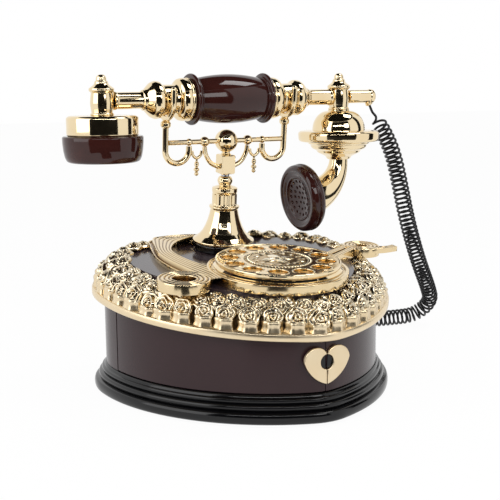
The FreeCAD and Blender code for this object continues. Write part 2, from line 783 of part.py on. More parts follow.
FORK_SIDE = "(fork_x - fork_wire_radius - tray_fit)"
bar = turned("cradle_bar", [
    (f"-{FORK_SIDE}", "0"),
    (FORK_SIDE, "0"),
    (FORK_SIDE, "bar_radius"),
    *bead("bead_outer_x", "bead_outer_radius"),
    *bead("bead_inner_x", "bead_inner_radius"),
    *bead("0", "ball_radius"),
    *bead("-bead_inner_x", "bead_inner_radius"),
    *bead("-bead_outer_x", "bead_outer_radius"),
    (f"-{FORK_SIDE}", "bar_radius"),
], "H_Axis")
keep("cradle_bar", bar, "top", y=STAND_Y, z=BAR_RISE)

doc.recompute()


def fork(sign):
    """A wire from the bar down round a U, up the stem, and the ring that takes the handset's neck."""
    inner = sign * value("bead_outer_x")
    outer = sign * value("fork_x")
    bend = value(FORK_BEND)
    radius = abs(outer - inner) / 2
    wire = value("fork_wire_radius")
    low = bend - radius
    start = value(f"{BAR_RISE} - bead_outer_radius - tray_fit")
    axis = value("handset_rise")
    seat = value("neck_radius + fork_wire_radius + lift_gap")
    top = axis - seat
    stem = rod([
        line(Vector(inner, 0, start), Vector(inner, 0, bend)),
        bow(Vector(inner, 0, bend), Vector((inner + outer) / 2, 0, low), Vector(outer, 0, bend)),
        line(Vector(outer, 0, bend), Vector(outer, 0, top)),
    ], wire)
    up = axis + value("fork_finger_up")
    ring_path = [
        line(Vector(outer, -seat, up), Vector(outer, -seat, axis)),
        bow(Vector(outer, -seat, axis), Vector(outer, 0, top), Vector(outer, seat, axis)),
        line(Vector(outer, seat, axis), Vector(outer, seat, up)),
    ]
    collar = Part.makeSphere(value("fork_collar_radius"), Vector(outer, 0, top - wire * 1.5))
    return stem.fuse([rod(ring_path, wire), collar]).removeSplitter()


def stay(sign):
    """A curved wire from the inner bead down to the side of the block."""
    start = Vector(sign * value("bead_inner_x"), 0, value(f"{BAR_RISE} - bead_inner_radius - tray_fit"))
    stop = Vector(sign * value("block_wide / 2 + 4 * tray_fit"), 0, value("block_low + block_tall * 0.35"))
    reach = value("stay_bow")
    middle = (start + stop) / 2 + Vector(sign * reach, 0, -reach)
    return rod([bow(start, middle, stop)], value("stay_wire_radius"))


def garland(sign):
    """A small hanging wire between the fork's bend and the stay, with its drop."""
    left = sign * value("bead_inner_x + stay_wire_radius + garland_wire_radius + 3 * tray_fit")
    right = sign * value("bead_outer_x - fork_wire_radius - garland_wire_radius - 2 * tray_fit")
    rise = value(FORK_BEND)
    middle = Vector((left + right) / 2, 0, rise - value("garland_drop"))
    bend = middle.z + abs(right - left) / 2
    loop = rod([
        line(Vector(left, 0, rise), Vector(left, 0, bend)),
        bow(Vector(left, 0, bend), middle, Vector(right, 0, bend)),
        line(Vector(right, 0, bend), Vector(right, 0, rise)),
    ], value("garland_wire_radius"))
    radius = value("pendant_radius")
    drop = value("pendant_drop")
    stem = Part.makeCylinder(radius * 0.45, drop - radius, middle - Vector(0, 0, drop - radius))
    beads = [Part.makeSphere(radius * share, middle - Vector(0, 0, drop * fall))
             for share, fall in ((0.8, 0.35), (1.0, 0.6), (0.8, 0.86))]
    return loop.fuse([stem] + beads).removeSplitter()


keep("fork_left", formed("fork_left", fork(-1)), "top", y=STAND_Y)
keep("fork_right", formed("fork_right", fork(1)), "top", y=STAND_Y)
keep("cradle_stays", formed("cradle_stays", Part.Compound([stay(-1), stay(1)])), "top", y=STAND_Y)
keep("garlands", formed("garlands", Part.Compound([garland(-1), garland(1)])), "top", y=STAND_Y)

# Handset grip: brown barrel with a gilt collar, knob and tube at each end
BARREL_BODY = "(barrel_half - barrel_flange_thick)"
BARREL_BOW = f"(({BARREL_BODY} ^ 2 / (barrel_mid_radius - barrel_end_radius)" \
             " + barrel_mid_radius - barrel_end_radius) / 2)"
barrel = turned("grip_barrel", [
    ("-barrel_half", "0"),
    ("barrel_half", "0"),
    ("barrel_half", "barrel_flange_radius - 1.5"),
    ("barrel_half - 1.5", "barrel_flange_radius"),
    (f"{BARREL_BODY} + 1", "barrel_flange_radius"),
    (BARREL_BODY, "barrel_end_radius + 1"),
    (BARREL_BODY, "barrel_end_radius", BARREL_BOW),
    ("0", "barrel_mid_radius", BARREL_BOW),
    (f"-{BARREL_BODY}", "barrel_end_radius"),
    (f"-{BARREL_BODY}", "barrel_end_radius + 1"),
    (f"-{BARREL_BODY} - 1", "barrel_flange_radius"),
    ("1.5 - barrel_half", "barrel_flange_radius"),
    ("-barrel_half", "barrel_flange_radius - 1.5"),
], "H_Axis")
keep("grip_barrel", barrel, "handset")

def clear_of_post(name, arm):
    """An arm piece hollowed where the right post stands."""
    round_post = block("Cylinder", name + "_post", ("post_x", "0", "-post_low"),
                       Radius="post_radius + post_fit", Height="post_low + post_high")
    return join("Cut", name, arm, round_post)


for side, turn in (("left", Rotation(Vector(0, 0, 1), 180)), ("right", Rotation())):
    arm = turned(f"grip_arm_{side}_blank", [
        ("barrel_half", "0"),
        ("post_x", "0"),
        ("post_x", "tube_radius"),
        ("knob_end + 3", "tube_radius"),
        ("knob_end", "tube_socket_radius"),
        ("(knob_start + knob_end) / 2", "knob_radius"),
        ("knob_start + edge_break", "knob_radius - edge_break / 3"),
        ("knob_start", "neck_radius"),
        ("collar_end + edge_break", "neck_radius"),
        ("collar_end", "collar_radius - edge_break"),
        ("collar_end - edge_break", "collar_radius"),
        ("barrel_half + edge_break", "collar_radius"),
        ("barrel_half", "collar_radius - edge_break"),
    ], "H_Axis")
    keep("grip_arm_" + side, clear_of_post("grip_arm_" + side, arm), "handset", turn=turn)
    post = turned("post_" + side, [
        ("0", "-post_low"),
        ("post_radius", "-post_low"),
        ("post_waist_radius", "edge_break - post_low", "post_radius * 4"),
        ("post_waist_radius", "post_high - edge_break"),
        ("post_radius", "post_high - edge_break / 2"),
        ("finial_ring_radius", "post_high"),
        ("finial_ring_radius", "post_high + edge_break"),
        ("finial_ring_radius * 0.5", "post_high + finial_tall * 0.35"),
        ("finial_ring_radius * 0.42", "post_high + finial_tall * 0.48"),
        ("finial_ring_radius * 0.55", "post_high + finial_tall * 0.6",
         cap_radius("finial_ring_radius * 0.55", "finial_tall * 0.4")),
        ("0", "post_high + finial_tall"),
    ])
    keep("post_" + side, post, "handset", x="-post_x" if side == "left" else "post_x")

# Receiver: gilt drum and brown ear cap under the left post
DRUM_LOW = "(-post_low - drum_tall)"
drum = turned("receiver_drum", [
    ("0", DRUM_LOW),
    ("drum_radius", DRUM_LOW),
    ("drum_radius", "-post_low - 1.5"),
    ("drum_radius - 1.5", "-post_low"),
    ("0", "-post_low"),
])
keep("receiver_drum", drum, "handset", x="-post_x")
EAR_LOW = f"({DRUM_LOW} - ear_tall)"
ear = turned("receiver_cap", [
    ("0", f"{EAR_LOW} + ear_dish", "-" + cap_radius("ear_mouth_radius - ear_lip", "ear_dish")),
    ("ear_mouth_radius - ear_lip", EAR_LOW),
    ("ear_mouth_radius", EAR_LOW, "ear_tall * 1.4"),
    ("ear_radius", f"{DRUM_LOW} - ear_tall * 0.3"),
    ("ear_radius", DRUM_LOW),
    ("0", DRUM_LOW),
])
keep("receiver_cap", ear, "handset", x="-post_x")

# Transmitter: dome, disc, stepped cone, curved horn and pierced mouth cap under the right post
DISC_TOP = "(-post_low - dome_tall)"
DISC_LOW = f"({DISC_TOP} - disc_thick)"
dome = turned("transmitter_dome", [
    ("0", DISC_TOP),
    ("dome_radius", DISC_TOP, "dome_tall * 1.15"),
    ("post_radius", "-post_low - 1"),
    ("post_radius", "-post_low"),
    ("0", "-post_low"),
])
keep("transmitter_dome", dome, "handset", x="post_x")
disc = turned("transmitter_disc", [
    ("0", DISC_LOW),
    ("disc_radius - 1", DISC_LOW),
    ("disc_radius", f"{DISC_LOW} + 1"),
    ("disc_radius", f"{DISC_TOP} - 1"),
    ("disc_radius - 1", DISC_TOP),
    ("0", DISC_TOP),
])
keep("transmitter_disc", disc, "handset", x="post_x")
HORN_TOP = f"({DISC_LOW} - under_disc_tall)"
cone = turned("transmitter_cone", [
    ("0", HORN_TOP),
    ("horn_throat_radius + 1.5", HORN_TOP),
    ("horn_throat_radius + 1.5", f"{HORN_TOP} + 3"),
    ("under_disc_radius * 0.55", f"{HORN_TOP} + under_disc_tall * 0.4"),
    ("under_disc_radius * 0.7", f"{HORN_TOP} + under_disc_tall * 0.55"),
    ("under_disc_radius * 0.8", f"{HORN_TOP} + under_disc_tall * 0.7"),
    ("under_disc_radius", f"{DISC_LOW} - 3"),
    ("under_disc_radius", DISC_LOW),
    ("0", DISC_LOW),
])
keep("transmitter_cone", cone, "handset", x="post_x")


def horn():
    """Round sections that swell along a bend from straight down to the mouth cap's back."""
    bend = value("horn_bend")
    throat = value("horn_throat_radius")
    mouth = value("horn_mouth_radius")
    sweep = math.radians(90 - value("mouth_nod"))
    centre = Vector(value("post_x") - bend, 0, value(HORN_TOP))
    steps = 6
    sections = []
    for k in range(steps + 1):
        share = k / steps
        turn = sweep * share
        outward = Vector(math.cos(turn), 0, -math.sin(turn))
        along = Vector(-math.sin(turn), 0, -math.cos(turn))
        radius = throat + (mouth - throat) * share ** 1.5
        sections.append(Part.Wire(Part.makeCircle(radius, centre + outward * bend, along)))
    return Part.makeLoft(sections, True, False)


keep("transmitter_horn", formed("transmitter_horn", horn()), "handset")

MOUTH_X = "(post_x - horn_bend + horn_bend * sin(mouth_nod))"
MOUTH_Z = f"({HORN_TOP} - horn_bend * cos(mouth_nod))"
mouth = turned("mouth_blank", [
    ("0", "0"),
    ("horn_mouth_radius + 1", "0"),
    ("mouth_radius - 2", "mouth_thick * 0.25"),
    ("mouth_radius", "mouth_thick * 0.45"),
    ("mouth_radius", "mouth_thick * 0.7"),
    ("mouth_radius - mouth_lip / 2", "mouth_thick"),
    ("mouth_radius - mouth_lip", "mouth_thick", "-" + cap_radius("mouth_radius - mouth_lip", "mouth_dish")),
    ("0", "mouth_thick - mouth_dish"),
])
holes = []
for row, count in enumerate((1, 6, 12)):
    for k in range(count):
        reach = f"{row} * mouth_row_step"
        spread = f"{k} * 360 / {count}"
        place = (f"{reach} * cos({spread})", f"{reach} * sin({spread})", "mouth_thick * 0.4")
        holes.append(block("Cylinder", "sound_hole", place, Radius="mouth_hole_radius", Height="mouth_thick"))
cap = join("Cut", "mouth_cap", mouth, group("sound_holes", holes))
keep("mouth_cap", cap, "handset", x=MOUTH_X, z=MOUTH_Z,
     turn=Rotation(Vector(0, 1, 0), -90 - value("mouth_nod")))

# Cord end of the handset: tail tube, and the socket under it
TAIL_END = "(post_x + tail_tube_long)"
SOCKET_X = f"({TAIL_END} - cord_socket_inset)"
SOCKET_LOW = "(tail_tube_radius + cord_socket_drop)"
tail = turned("tail_blank", [
    ("post_x", "0"),
    (TAIL_END, "0"),
    (TAIL_END, "tail_tube_radius - edge_break"),
    (f"{TAIL_END} - edge_break", "tail_tube_radius"),
    (f"{TAIL_END} - 3 * edge_break", "tail_tube_radius"),
    (f"{TAIL_END} - 3 * edge_break", "tail_tube_radius - edge_break / 3"),
    ("post_x", "tail_tube_radius - edge_break / 3"),
], "H_Axis")
socket = block("Cylinder", "cord_socket", (SOCKET_X,), Radius="cord_socket_radius", Height=SOCKET_LOW,
               turn=Rotation(Vector(0, 1, 0), 180 - value("cord_socket_lean")))
tail_fused = join("Fuse", "tail_and_socket", tail, socket)
keep("tail_tube", clear_of_post("tail_tube", tail_fused), "handset")

# Cord gland on the back of the wall
gland = block("Cylinder", "cord_gland", Radius="gland_radius", Height="gland_reach")
GLAND_OUT = "(lobe_radius - wall_inset)"
keep("cord_gland", gland, x=f"{LOBE_X} + {GLAND_OUT} * cos(gland_angle)",
     y=f"widest_y + {GLAND_OUT} * sin(gland_angle)", z="gland_height",
     turn=Rotation(Vector(-math.sin(math.radians(value("gland_angle"))),
                          math.cos(math.radians(value("gland_angle"))), 0), 90))

# Inside the base: circuit board on standoffs and a ringer
card = block("Box", "circuit_card", ("-circuit_wide / 2", "circuit_y - circuit_deep / 2",
                                     "plinth_top + standoff_tall"),
             Length="circuit_wide", Width="circuit_deep", Height="circuit_thick")
card_pieces = [card]
for x in ("-1", "1"):
    for y in ("-1", "1"):
        place = (f"{x} * (circuit_wide / 2 - 2 * standoff_radius)",
                 f"circuit_y + {y} * (circuit_deep / 2 - 2 * standoff_radius)", "plinth_top")
        leg = block("Cylinder", "standoff", place, Radius="standoff_radius", Height="standoff_tall")
        card_pieces.append(leg)
keep("circuit_board", group("circuit_board", card_pieces))
ringer = block("Cylinder", "ringer", Radius="ringer_radius", Height="ringer_tall")
RINGER_BACK = "(lobe_radius - wall_inset - wall_thick - ringer_radius - ringer_gap)"
keep("ringer", ringer, x=LOBE_X, y=f"widest_y + {RINGER_BACK}", z="plinth_top")

doc.recompute()

# The curly cord's route, from the handset's tail to the gland, in points chosen by eye
CORD_ROUTE = [
    Vector(146.3, 49.2, 214), Vector(159, 49.5, 198), Vector(170, 51, 178.5), Vector(179.5, 54, 152),
    Vector(191, 60, 123.5), Vector(205, 67, 95), Vector(222, 76.5, 68),
    Vector(241, 87.5, 43), Vector(255.5, 100, 24.6), Vector(245, 113.7, 8.6), Vector(219, 116.3, 8.4),
    Vector(195, 121, 8.4), Vector(170, 126.5, 8.8), Vector(147, 126, 12.5), Vector(127, 115.5, 22),
    Vector(111, 100.5, 32.9),
]
ROUND_SHARE = 0.45


def rounded(points):
    """Straight runs joined by tangent arcs, each as large as its two runs allow."""
    edges = []
    radii = []
    here = points[0]
    for before, corner, after in zip(points, points[1:], points[2:]):
        back = (before - corner)
        ahead = (after - corner)
        bite = ROUND_SHARE * min(back.Length, ahead.Length)
        half = (math.pi - back.getAngle(ahead)) / 2
        radius = bite / math.tan(half)
        start = corner + back.normalize() * bite
        stop = corner + ahead.normalize() * bite
        inward = (back + ahead).normalize()
        middle = corner + inward * (radius / math.cos(half) - radius)
        edges += [line(here, start), bow(start, middle, stop)]
        radii.append(radius)
        here = stop
    edges.append(line(here, points[-1]))
    return edges, radii


def biarc(start, along, stop, onward):
    """Two arcs that leave a point along one direction and reach another along a second."""
    step = stop - start
    both = along + onward
    spread = 2 * (1 - along.dot(onward))
    reach = step.dot(both)
    if spread < 1e-9:
        size = step.Length / 4
    else:
        size = (math.sqrt(reach ** 2 + spread * step.dot(step)) - reach) / spread
    first = start + along * size
    second = stop - onward * size
    joint = (first + second) / 2
    arcs = []
    for a, peak, b in ((start, first, joint), (joint, second, stop)):
        chord = b - a
        middle = (a + b) / 2
        lift = peak - middle
        if lift.Length < 1e-6:
            arcs.append(line(a, b))
            continue
        turn = (peak - a).getAngle(chord)
        arcs.append(bow(a, middle + lift.normalize() * (chord.Length / 2 * math.tan(turn / 2)), b))
    return arcs


def curly_cord(points):
    """One wire whose curls wind about the route; towards both ends they open out along it and shrink
    to a straight lead."""
    edges, radii = rounded(points)
    print("cord route radii", [round(r, 1) for r in radii])
    route = Part.Wire(edges)
    length = route.Length
    lead = 4 * value("cord_wire_radius")
    curls = value("cord_curls")
    curl = value("cord_curl_radius")
    fade = 1.5
    loose = 3
    pitch = (length - 2 * lead) / (curls + loose * fade)
    spots = route.discretize(Number=3000)
    side = Vector(0, 1, 0)
    frames = []
    for k, spot in enumerate(spots):
        near = spots[min(k + 1, len(spots) - 1)] - spots[max(k - 1, 0)]
        along = near.normalize()
        side = (side - along * side.dot(along)).normalize()
        frames.append((spot, side, along.cross(side)))

    def gone(turns):
        fading = min(turns, fade)
        return lead + pitch * (turns + loose * (fading - fading ** 2 / (2 * fade)))

    def wire_at(turns):
        share = (gone(turns) if turns < curls / 2 else length - gone(curls - turns)) / length
        index = share * (len(frames) - 1)
        low = min(int(index), len(frames) - 2)
        part = index - low
        spot, one, two = frames[low]
        spot = spot + (frames[low + 1][0] - spot) * part
        ease = min(turns / fade, (curls - turns) / fade, 1)
        swell = curl * ease * ease * (3 - 2 * ease)
        turn = 2 * math.pi * turns
        return spot + one * (swell * math.cos(turn)) + two * (swell * math.sin(turn))

    stations = []
    turns = 0.0
    while turns < curls - 1e-6:
        stations.append(turns)
        turns += 0.25 if turns < fade or turns >= curls - fade else 0.5
    stations.append(curls)
    nudge = 0.002
    along_start = (spots[1] - spots[0]).normalize()
    along_stop = (spots[-1] - spots[-2]).normalize()
    marks = [wire_at(t) for t in stations]
    ways = [(wire_at(min(t + nudge, curls)) - wire_at(max(t - nudge, 0))).normalize() for t in stations]
    ways[0] = along_start
    ways[-1] = along_stop
    path = [line(spots[0], marks[0])]
    for k in range(len(marks) - 1):
        path += biarc(marks[k], ways[k], marks[k + 1], ways[k + 1])
    path.append(line(marks[-1], spots[-1]))
    wire = Part.Wire(path)
    section = Part.Wire(Part.makeCircle(value("cord_wire_radius"), spots[0], along_start))
    tube = wire.makePipeShell([section], True, False)
    print("cord wire length", round(wire.Length, 1), "route", round(length, 1))
    print("volume over section times length",
          round(tube.Volume / (math.pi * value("cord_wire_radius") ** 2 * wire.Length), 4))
    samples = [wire_at(curls * k / 6000) for k in range(6001)]
    reach = int(6000 / curls * 0.6)
    least = min((samples[k] - samples[m]).Length
                for k in range(0, 6001, 3) for m in range(k + reach, min(k + 4 * reach, 6001), 3))
    print("least gap of the cord to itself", round(least - 2 * value("cord_wire_radius"), 2))
    return tube


gland_mouth = Vector(value(f"{LOBE_X} + ({GLAND_OUT} + gland_reach) * cos(gland_angle)"),
                     value(f"widest_y + ({GLAND_OUT} + gland_reach) * sin(gland_angle)"),
                     value("gland_height"))
CORD_DROP = f"({SOCKET_LOW} + lift_gap)"
cord_start = Vector(value(f"{SOCKET_X} + {CORD_DROP} * sin(cord_socket_lean)"), value(HANDSET_Y),
                    value(f"{HANDSET_Z} - {CORD_DROP} * cos(cord_socket_lean)"))
keep("curly_cord", formed("curly_cord", curly_cord([cord_start] + CORD_ROUTE + [gland_mouth])))

doc.recompute()

faults = [f"{obj.Label}: {obj.State}" for obj in doc.Objects if {"Invalid", "Error"} & set(obj.State)]
for label, obj in PARTS.items():
    if obj.Shape.isNull() or not obj.Shape.isValid():
        faults.append(label + " has no valid shape")
if faults:
    raise RuntimeError("\n".join(faults))

os.makedirs("parts", exist_ok=True)
for label, obj in PARTS.items():
    obj.Shape.exportStep(f"parts/{label}.step")
print(len(PARTS), "sub-parts written")
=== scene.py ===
import math

import bmesh
import bpy
import numpy as np
from mathutils import Matrix, Vector


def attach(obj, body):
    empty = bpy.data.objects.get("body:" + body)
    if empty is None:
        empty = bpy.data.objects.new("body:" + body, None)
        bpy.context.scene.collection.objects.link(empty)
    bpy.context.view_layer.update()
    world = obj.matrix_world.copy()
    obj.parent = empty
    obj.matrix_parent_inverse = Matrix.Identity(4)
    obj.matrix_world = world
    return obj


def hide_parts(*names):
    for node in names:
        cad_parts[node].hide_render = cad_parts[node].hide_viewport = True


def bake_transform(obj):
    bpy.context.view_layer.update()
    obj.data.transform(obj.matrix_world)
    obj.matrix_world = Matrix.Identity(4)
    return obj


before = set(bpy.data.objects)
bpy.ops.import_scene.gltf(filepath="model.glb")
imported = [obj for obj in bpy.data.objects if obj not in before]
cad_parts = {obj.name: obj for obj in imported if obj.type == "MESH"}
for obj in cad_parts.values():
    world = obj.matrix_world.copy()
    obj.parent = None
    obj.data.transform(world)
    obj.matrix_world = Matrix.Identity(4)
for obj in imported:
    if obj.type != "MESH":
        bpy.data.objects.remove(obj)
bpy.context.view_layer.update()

MM = 0.001
scene = bpy.context.scene
scene.view_settings.view_transform = "Standard"

# Camera: a long lens to the left of the heart's point, a little above the handset and looking
# slightly down, held a hair off level.
CAMERA_SPOT = (-0.3876, -0.7040, 0.2439)
CAMERA_FORWARD = Vector((0.4694, 0.8682, -0.1609)).normalized()
CAMERA_ROLL = math.radians(-0.57)
LENS_MM, SENSOR_MM = 73.445, 36
NEAREST = 0.01
level_right = CAMERA_FORWARD.cross(Vector((0, 0, 1))).normalized()
level_up = level_right.cross(CAMERA_FORWARD)
right = level_right * math.cos(CAMERA_ROLL) + level_up * math.sin(CAMERA_ROLL)
up = level_up * math.cos(CAMERA_ROLL) - level_right * math.sin(CAMERA_ROLL)
lens = bpy.data.cameras.new("photo_lens")
lens.lens = LENS_MM
lens.sensor_width = SENSOR_MM
lens.clip_start = NEAREST
camera = bpy.data.objects.new("photo_camera", lens)
scene.collection.objects.link(camera)
camera.matrix_world = (Matrix.Translation(CAMERA_SPOT)
                       @ Matrix((right, up, -CAMERA_FORWARD)).transposed().to_4x4())
scene.camera = camera


# Curly cord: black PVC lead wound into tight curls, from the tail of the handset down to the table
# and round to a gland at the back of the base. The curls follow the hanging line of the route.
def linear(hex_text):
    """An sRGB hex colour as linear red, green, blue and alpha."""
    srgb = np.array([int(hex_text[k:k + 2], 16) for k in (1, 3, 5)]) / 255
    rgb = np.where(srgb <= 0.04045, srgb / 12.92, ((srgb + 0.055) / 1.055) ** 2.4)
    return (*rgb.tolist(), 1.0)


def add(tree, kind, links=None, **settings):
    """Adds a node, sets its properties or input values by name, and links sockets to its inputs."""
    made = tree.nodes.new(kind)
    for name, setting in settings.items():
        if hasattr(made, name):
            setattr(made, name, setting)
        else:
            made.inputs[name.replace("_", " ")].default_value = setting
    for name, socket in (links or {}).items():
        tree.links.new(socket, made.inputs[name])
    return made


def start_material(name, hex_text, **settings):
    """A new material with its node tree and its Principled shader, set to the colour and settings given."""
    material = bpy.data.materials.new(name)
    material.use_nodes = True
    shader = material.node_tree.nodes["Principled BSDF"]
    shader.inputs["Base Color"].default_value = linear(hex_text)
    for socket, setting in settings.items():
        shader.inputs[socket.replace("_", " ")].default_value = setting
    return material, material.node_tree, shader


def make_finish(name, tones, grain, detail, rough, hollow_shade=None, bump=None, **settings):
    """A material whose surface is a little uneven. A noise with patches a grain of millimetres across, or
    (x, y, z) millimetres where they are drawn out, moves the colour between two tones and the roughness
    between two values; a single one is set as it is. A colour of painted shade takes over as far as the
    mesh's shade attribute says, to darken hollows where shade falls. A bump is (grain, detail, strength,
    depth in millimetres) of a noise that stands up."""
    material, tree, shader = start_material(name, tones[0], **settings)
    spot = add(tree, "ShaderNodeTexCoord").outputs["Object"]
    patches = []
    for size, octaves in ((grain, detail), *([bump[:2]] if bump else [])):
        scaled = add(tree, "ShaderNodeMapping", {"Vector": spot}, Scale=(np.ones(3) / MM / size).tolist())
        noise = add(tree, "ShaderNodeTexNoise", {"Vector": scaled.outputs["Vector"]}, Scale=1.0,
                    Detail=octaves)
        patches.append(noise.outputs["Fac"])
    tone = None
    if len(tones) > 1:
        tone = add(tree, "ShaderNodeMix", {"Factor": patches[0]}, data_type="RGBA", A=linear(tones[0]),
                   B=linear(tones[1])).outputs["Result"]
    if hollow_shade:
        depth = add(tree, "ShaderNodeAttribute", attribute_name="hollow_shade").outputs["Fac"]
        links = {"Factor": depth, "A": tone} if tone else {"Factor": depth}
        tone = add(tree, "ShaderNodeMix", links, data_type="RGBA", A=linear(tones[0]),
                   B=linear(hollow_shade)).outputs["Result"]
    if tone:
        tree.links.new(tone, shader.inputs["Base Color"])
    if isinstance(rough, tuple):
        shade = add(tree, "ShaderNodeMapRange", {"Value": patches[0]}, To_Min=rough[0], To_Max=rough[1])
        tree.links.new(shade.outputs["Result"], shader.inputs["Roughness"])
    else:
        shader.inputs["Roughness"].default_value = rough
    if bump:
        raised = add(tree, "ShaderNodeBump", {"Height": patches[1]}, Strength=bump[2], Distance=bump[3] * MM)
        tree.links.new(raised.outputs["Normal"], shader.inputs["Normal"])
    return material


def mesh_of(name, grids):
    """A mesh from grids of points in millimetres, four neighbours to a face. A grid is an array of rows x
    columns x 3 whose columns close round, or (array, rows close, columns close). A fourth number at a
    point says how deep in painted shade the surface is there, from 0 to 1, and is kept as an attribute for
    the finish."""
    points, faces, start = [], [], 0
    for grid in grids:
        array, wrap_rows, wrap_columns = grid if isinstance(grid, tuple) else (grid, False, True)
        rows, columns, kept = array.shape
        index = np.arange(rows * columns).reshape(rows, columns) + start
        if wrap_rows:
            index = np.vstack([index, index[:1]])
        if wrap_columns:
            index = np.hstack([index, index[:, :1]])
        faces.append(np.stack([index[:-1, :-1], index[1:, :-1], index[1:, 1:], index[:-1, 1:]],
                              axis=-1).reshape(-1, 4))
        points.append(np.pad(array.reshape(-1, kept), ((0, 0), (0, 4 - kept))))
        start += rows * columns
    points = np.vstack(points)
    mesh = bpy.data.meshes.new(name)
    mesh.from_pydata((points[:, :3] * MM).tolist(), [], np.vstack(faces).tolist())
    if points[:, 3].any():
        mesh.attributes.new("hollow_shade", "FLOAT", "POINT").data.foreach_set("value", points[:, 3])
    return mesh


def piece(name, grids, material, rides, nodes=(), crease=40, fill=False):
    """A piece from grids of points: coinciding points merge, fill closes the rims that are left open,
    and edges sharper than the crease angle stay crisp."""
    mesh = mesh_of(name, grids)
    work = bmesh.new()
    work.from_mesh(mesh)
    bmesh.ops.remove_doubles(work, verts=work.verts, dist=2e-6)
    bmesh.ops.dissolve_degenerate(work, edges=work.edges, dist=1e-7)
    if fill:
        bmesh.ops.holes_fill(work, edges=[e for e in work.edges if e.is_boundary], sides=0)
    bmesh.ops.recalc_face_normals(work, faces=work.faces)
    work.to_mesh(mesh)
    work.free()
    mesh.shade_smooth()
    mesh.set_sharp_from_angle(angle=math.radians(crease))
    made = bpy.data.objects.new(name, mesh)
    scene.collection.objects.link(made)
    mesh.materials.append(material)
    if nodes:
        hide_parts(*nodes)
    if rides:
        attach(made, rides)
    return made


def run_of(line):
    """The distance gone along a line at each of its points."""
    return np.concatenate([[0], np.cumsum(np.linalg.norm(np.diff(line, axis=0), axis=1))])


def places_on(line, gone):
    """The points of a line at the given distances along it."""
    return np.stack([np.interp(gone, run_of(line), each) for each in line.T], axis=1)


def frames(path, first):
    """The directions to the side of a path and across it, at each point. The side is the one before it,
    or at first the one given, less its part along the path, so the frame turns as little as it can."""
    along = np.gradient(path, axis=0)
    along /= np.linalg.norm(along, axis=1, keepdims=True)
    side = [np.asarray(first, float)]
    for here in along:
        flat = side[-1] - here * side[-1].dot(here)
        side.append(flat / np.linalg.norm(flat))
    side = np.array(side[1:])
    return side, np.cross(along, side)


def tube(path, radius, sides=12):
    """A round tube: a circle of the given radius, or radii, carried square to a path."""
    askew = (0.3, 0.8, 0.52)
    side, other = frames(path, np.cross(path[1] - path[0], askew))
    turn = np.linspace(0, 2 * np.pi, sides, endpoint=False)[None, :, None]
    radius = np.broadcast_to(radius, len(path))[:, None, None]
    return path[:, None] + radius * (side[:, None] * np.cos(turn) + other[:, None] * np.sin(turn))


CORD_ROUTE = [
    (141.59, 49.2, 224.14), (146.3, 49.2, 214), (159, 49.5, 198), (170, 51, 178.5), (179.5, 54, 152),
    (191, 60, 123.5), (205, 67, 95), (222, 76.5, 68), (241, 87.5, 43), (255.5, 100, 24.6),
    (245, 113.7, 8.6), (219, 116.3, 8.4), (195, 121, 8.4), (170, 126.5, 8.8), (147, 126, 12.5),
    (127, 115.5, 22), (111, 100.5, 32.9), (99.22, 88.85, 33),
]
CORD_WIRE, CORD_CURL, CORD_CURLS = 1.1, 6.8, 82
CORD_STEPS, CORD_SIDES = 22, 10
# Each end has a straight lead; over the turns of the fade the curls grow from nothing, pulled out looser.
CORD_LEAD, CORD_FADE, CORD_LOOSE = 4.4, 1.5, 3
line = bpy.data.curves.new("cord_line", "CURVE")
line.dimensions = "3D"
spline = line.splines.new("NURBS")
spline.points.add(len(CORD_ROUTE) - 1)
for control, spot in zip(spline.points, CORD_ROUTE):
    control.co = (*(Vector(spot) * MM), 1)
spline.order_u = 3
spline.use_endpoint_u = True
spline.resolution_u = 24
line_object = bpy.data.objects.new("cord_line", line)
scene.collection.objects.link(line_object)
line_mesh = bpy.data.meshes.new_from_object(line_object)
route = np.array([v.co for v in line_mesh.vertices]) / MM
bpy.data.objects.remove(line_object)
route_length = run_of(route)[-1]
turns = np.linspace(0, CORD_CURLS, CORD_CURLS * CORD_STEPS + 1)
near = np.minimum(turns, CORD_CURLS - turns)
fading = np.minimum(near, CORD_FADE)
pitch = (route_length - 2 * CORD_LEAD) / (CORD_CURLS + CORD_LOOSE * CORD_FADE)
gone = CORD_LEAD + pitch * (near + CORD_LOOSE * (fading - fading ** 2 / (2 * CORD_FADE)))
core = places_on(route, np.where(turns < CORD_CURLS / 2, gone, route_length - gone))
side, other = frames(core, (0, 1, 0))
ease = fading / CORD_FADE
swell = (CORD_CURL * ease * ease * (3 - 2 * ease))[:, None]
angle = (2 * np.pi * turns)[:, None]
helix = core + swell * (side * np.cos(angle) + other * np.sin(angle))
helix = np.vstack([route[:1], helix, route[-1:]])

# Extruded PVC: a soft black whose gloss comes and goes along the curls. The real grain is too fine to
# show, so it is drawn about 1.1 mm wide.
cord_black = make_finish("pvc_lead_black", ["#0d0d10"], grain=1.11, detail=2, rough=(0.22, 0.36),
                         Specular_IOR_Level=0.35)
cord = piece("curly_cord_pvc", [tube(helix, CORD_WIRE, CORD_SIDES)], cord_black, None,
             ["curly_cord"], fill=True)
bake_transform(cord)

# Plinth: a heart-shaped moulding in black gloss plastic, three half-round beads over a deep foot.
# It carries the wall and stands on five rubber feet.
HALF_WIDTH, TIP_REACH, TIP_ROUND, WIDEST_Y, LOBE, CLEFT = 121, 112, 42, 40, 80, 30
FRONT = (HALF_WIDTH ** 2 + (WIDEST_Y + TIP_REACH) ** 2) / (2 * HALF_WIDTH)
FRONT_X = HALF_WIDTH - FRONT
TIP_Y = WIDEST_Y - math.sqrt((FRONT - TIP_ROUND) ** 2 - FRONT_X ** 2)
CLEFT_RISE = math.sqrt((LOBE + CLEFT) ** 2 - (HALF_WIDTH - LOBE) ** 2)
TIP_POINTS, FRONT_POINTS, LOBE_POINTS, CLEFT_POINTS = 14, 56, 64, 10


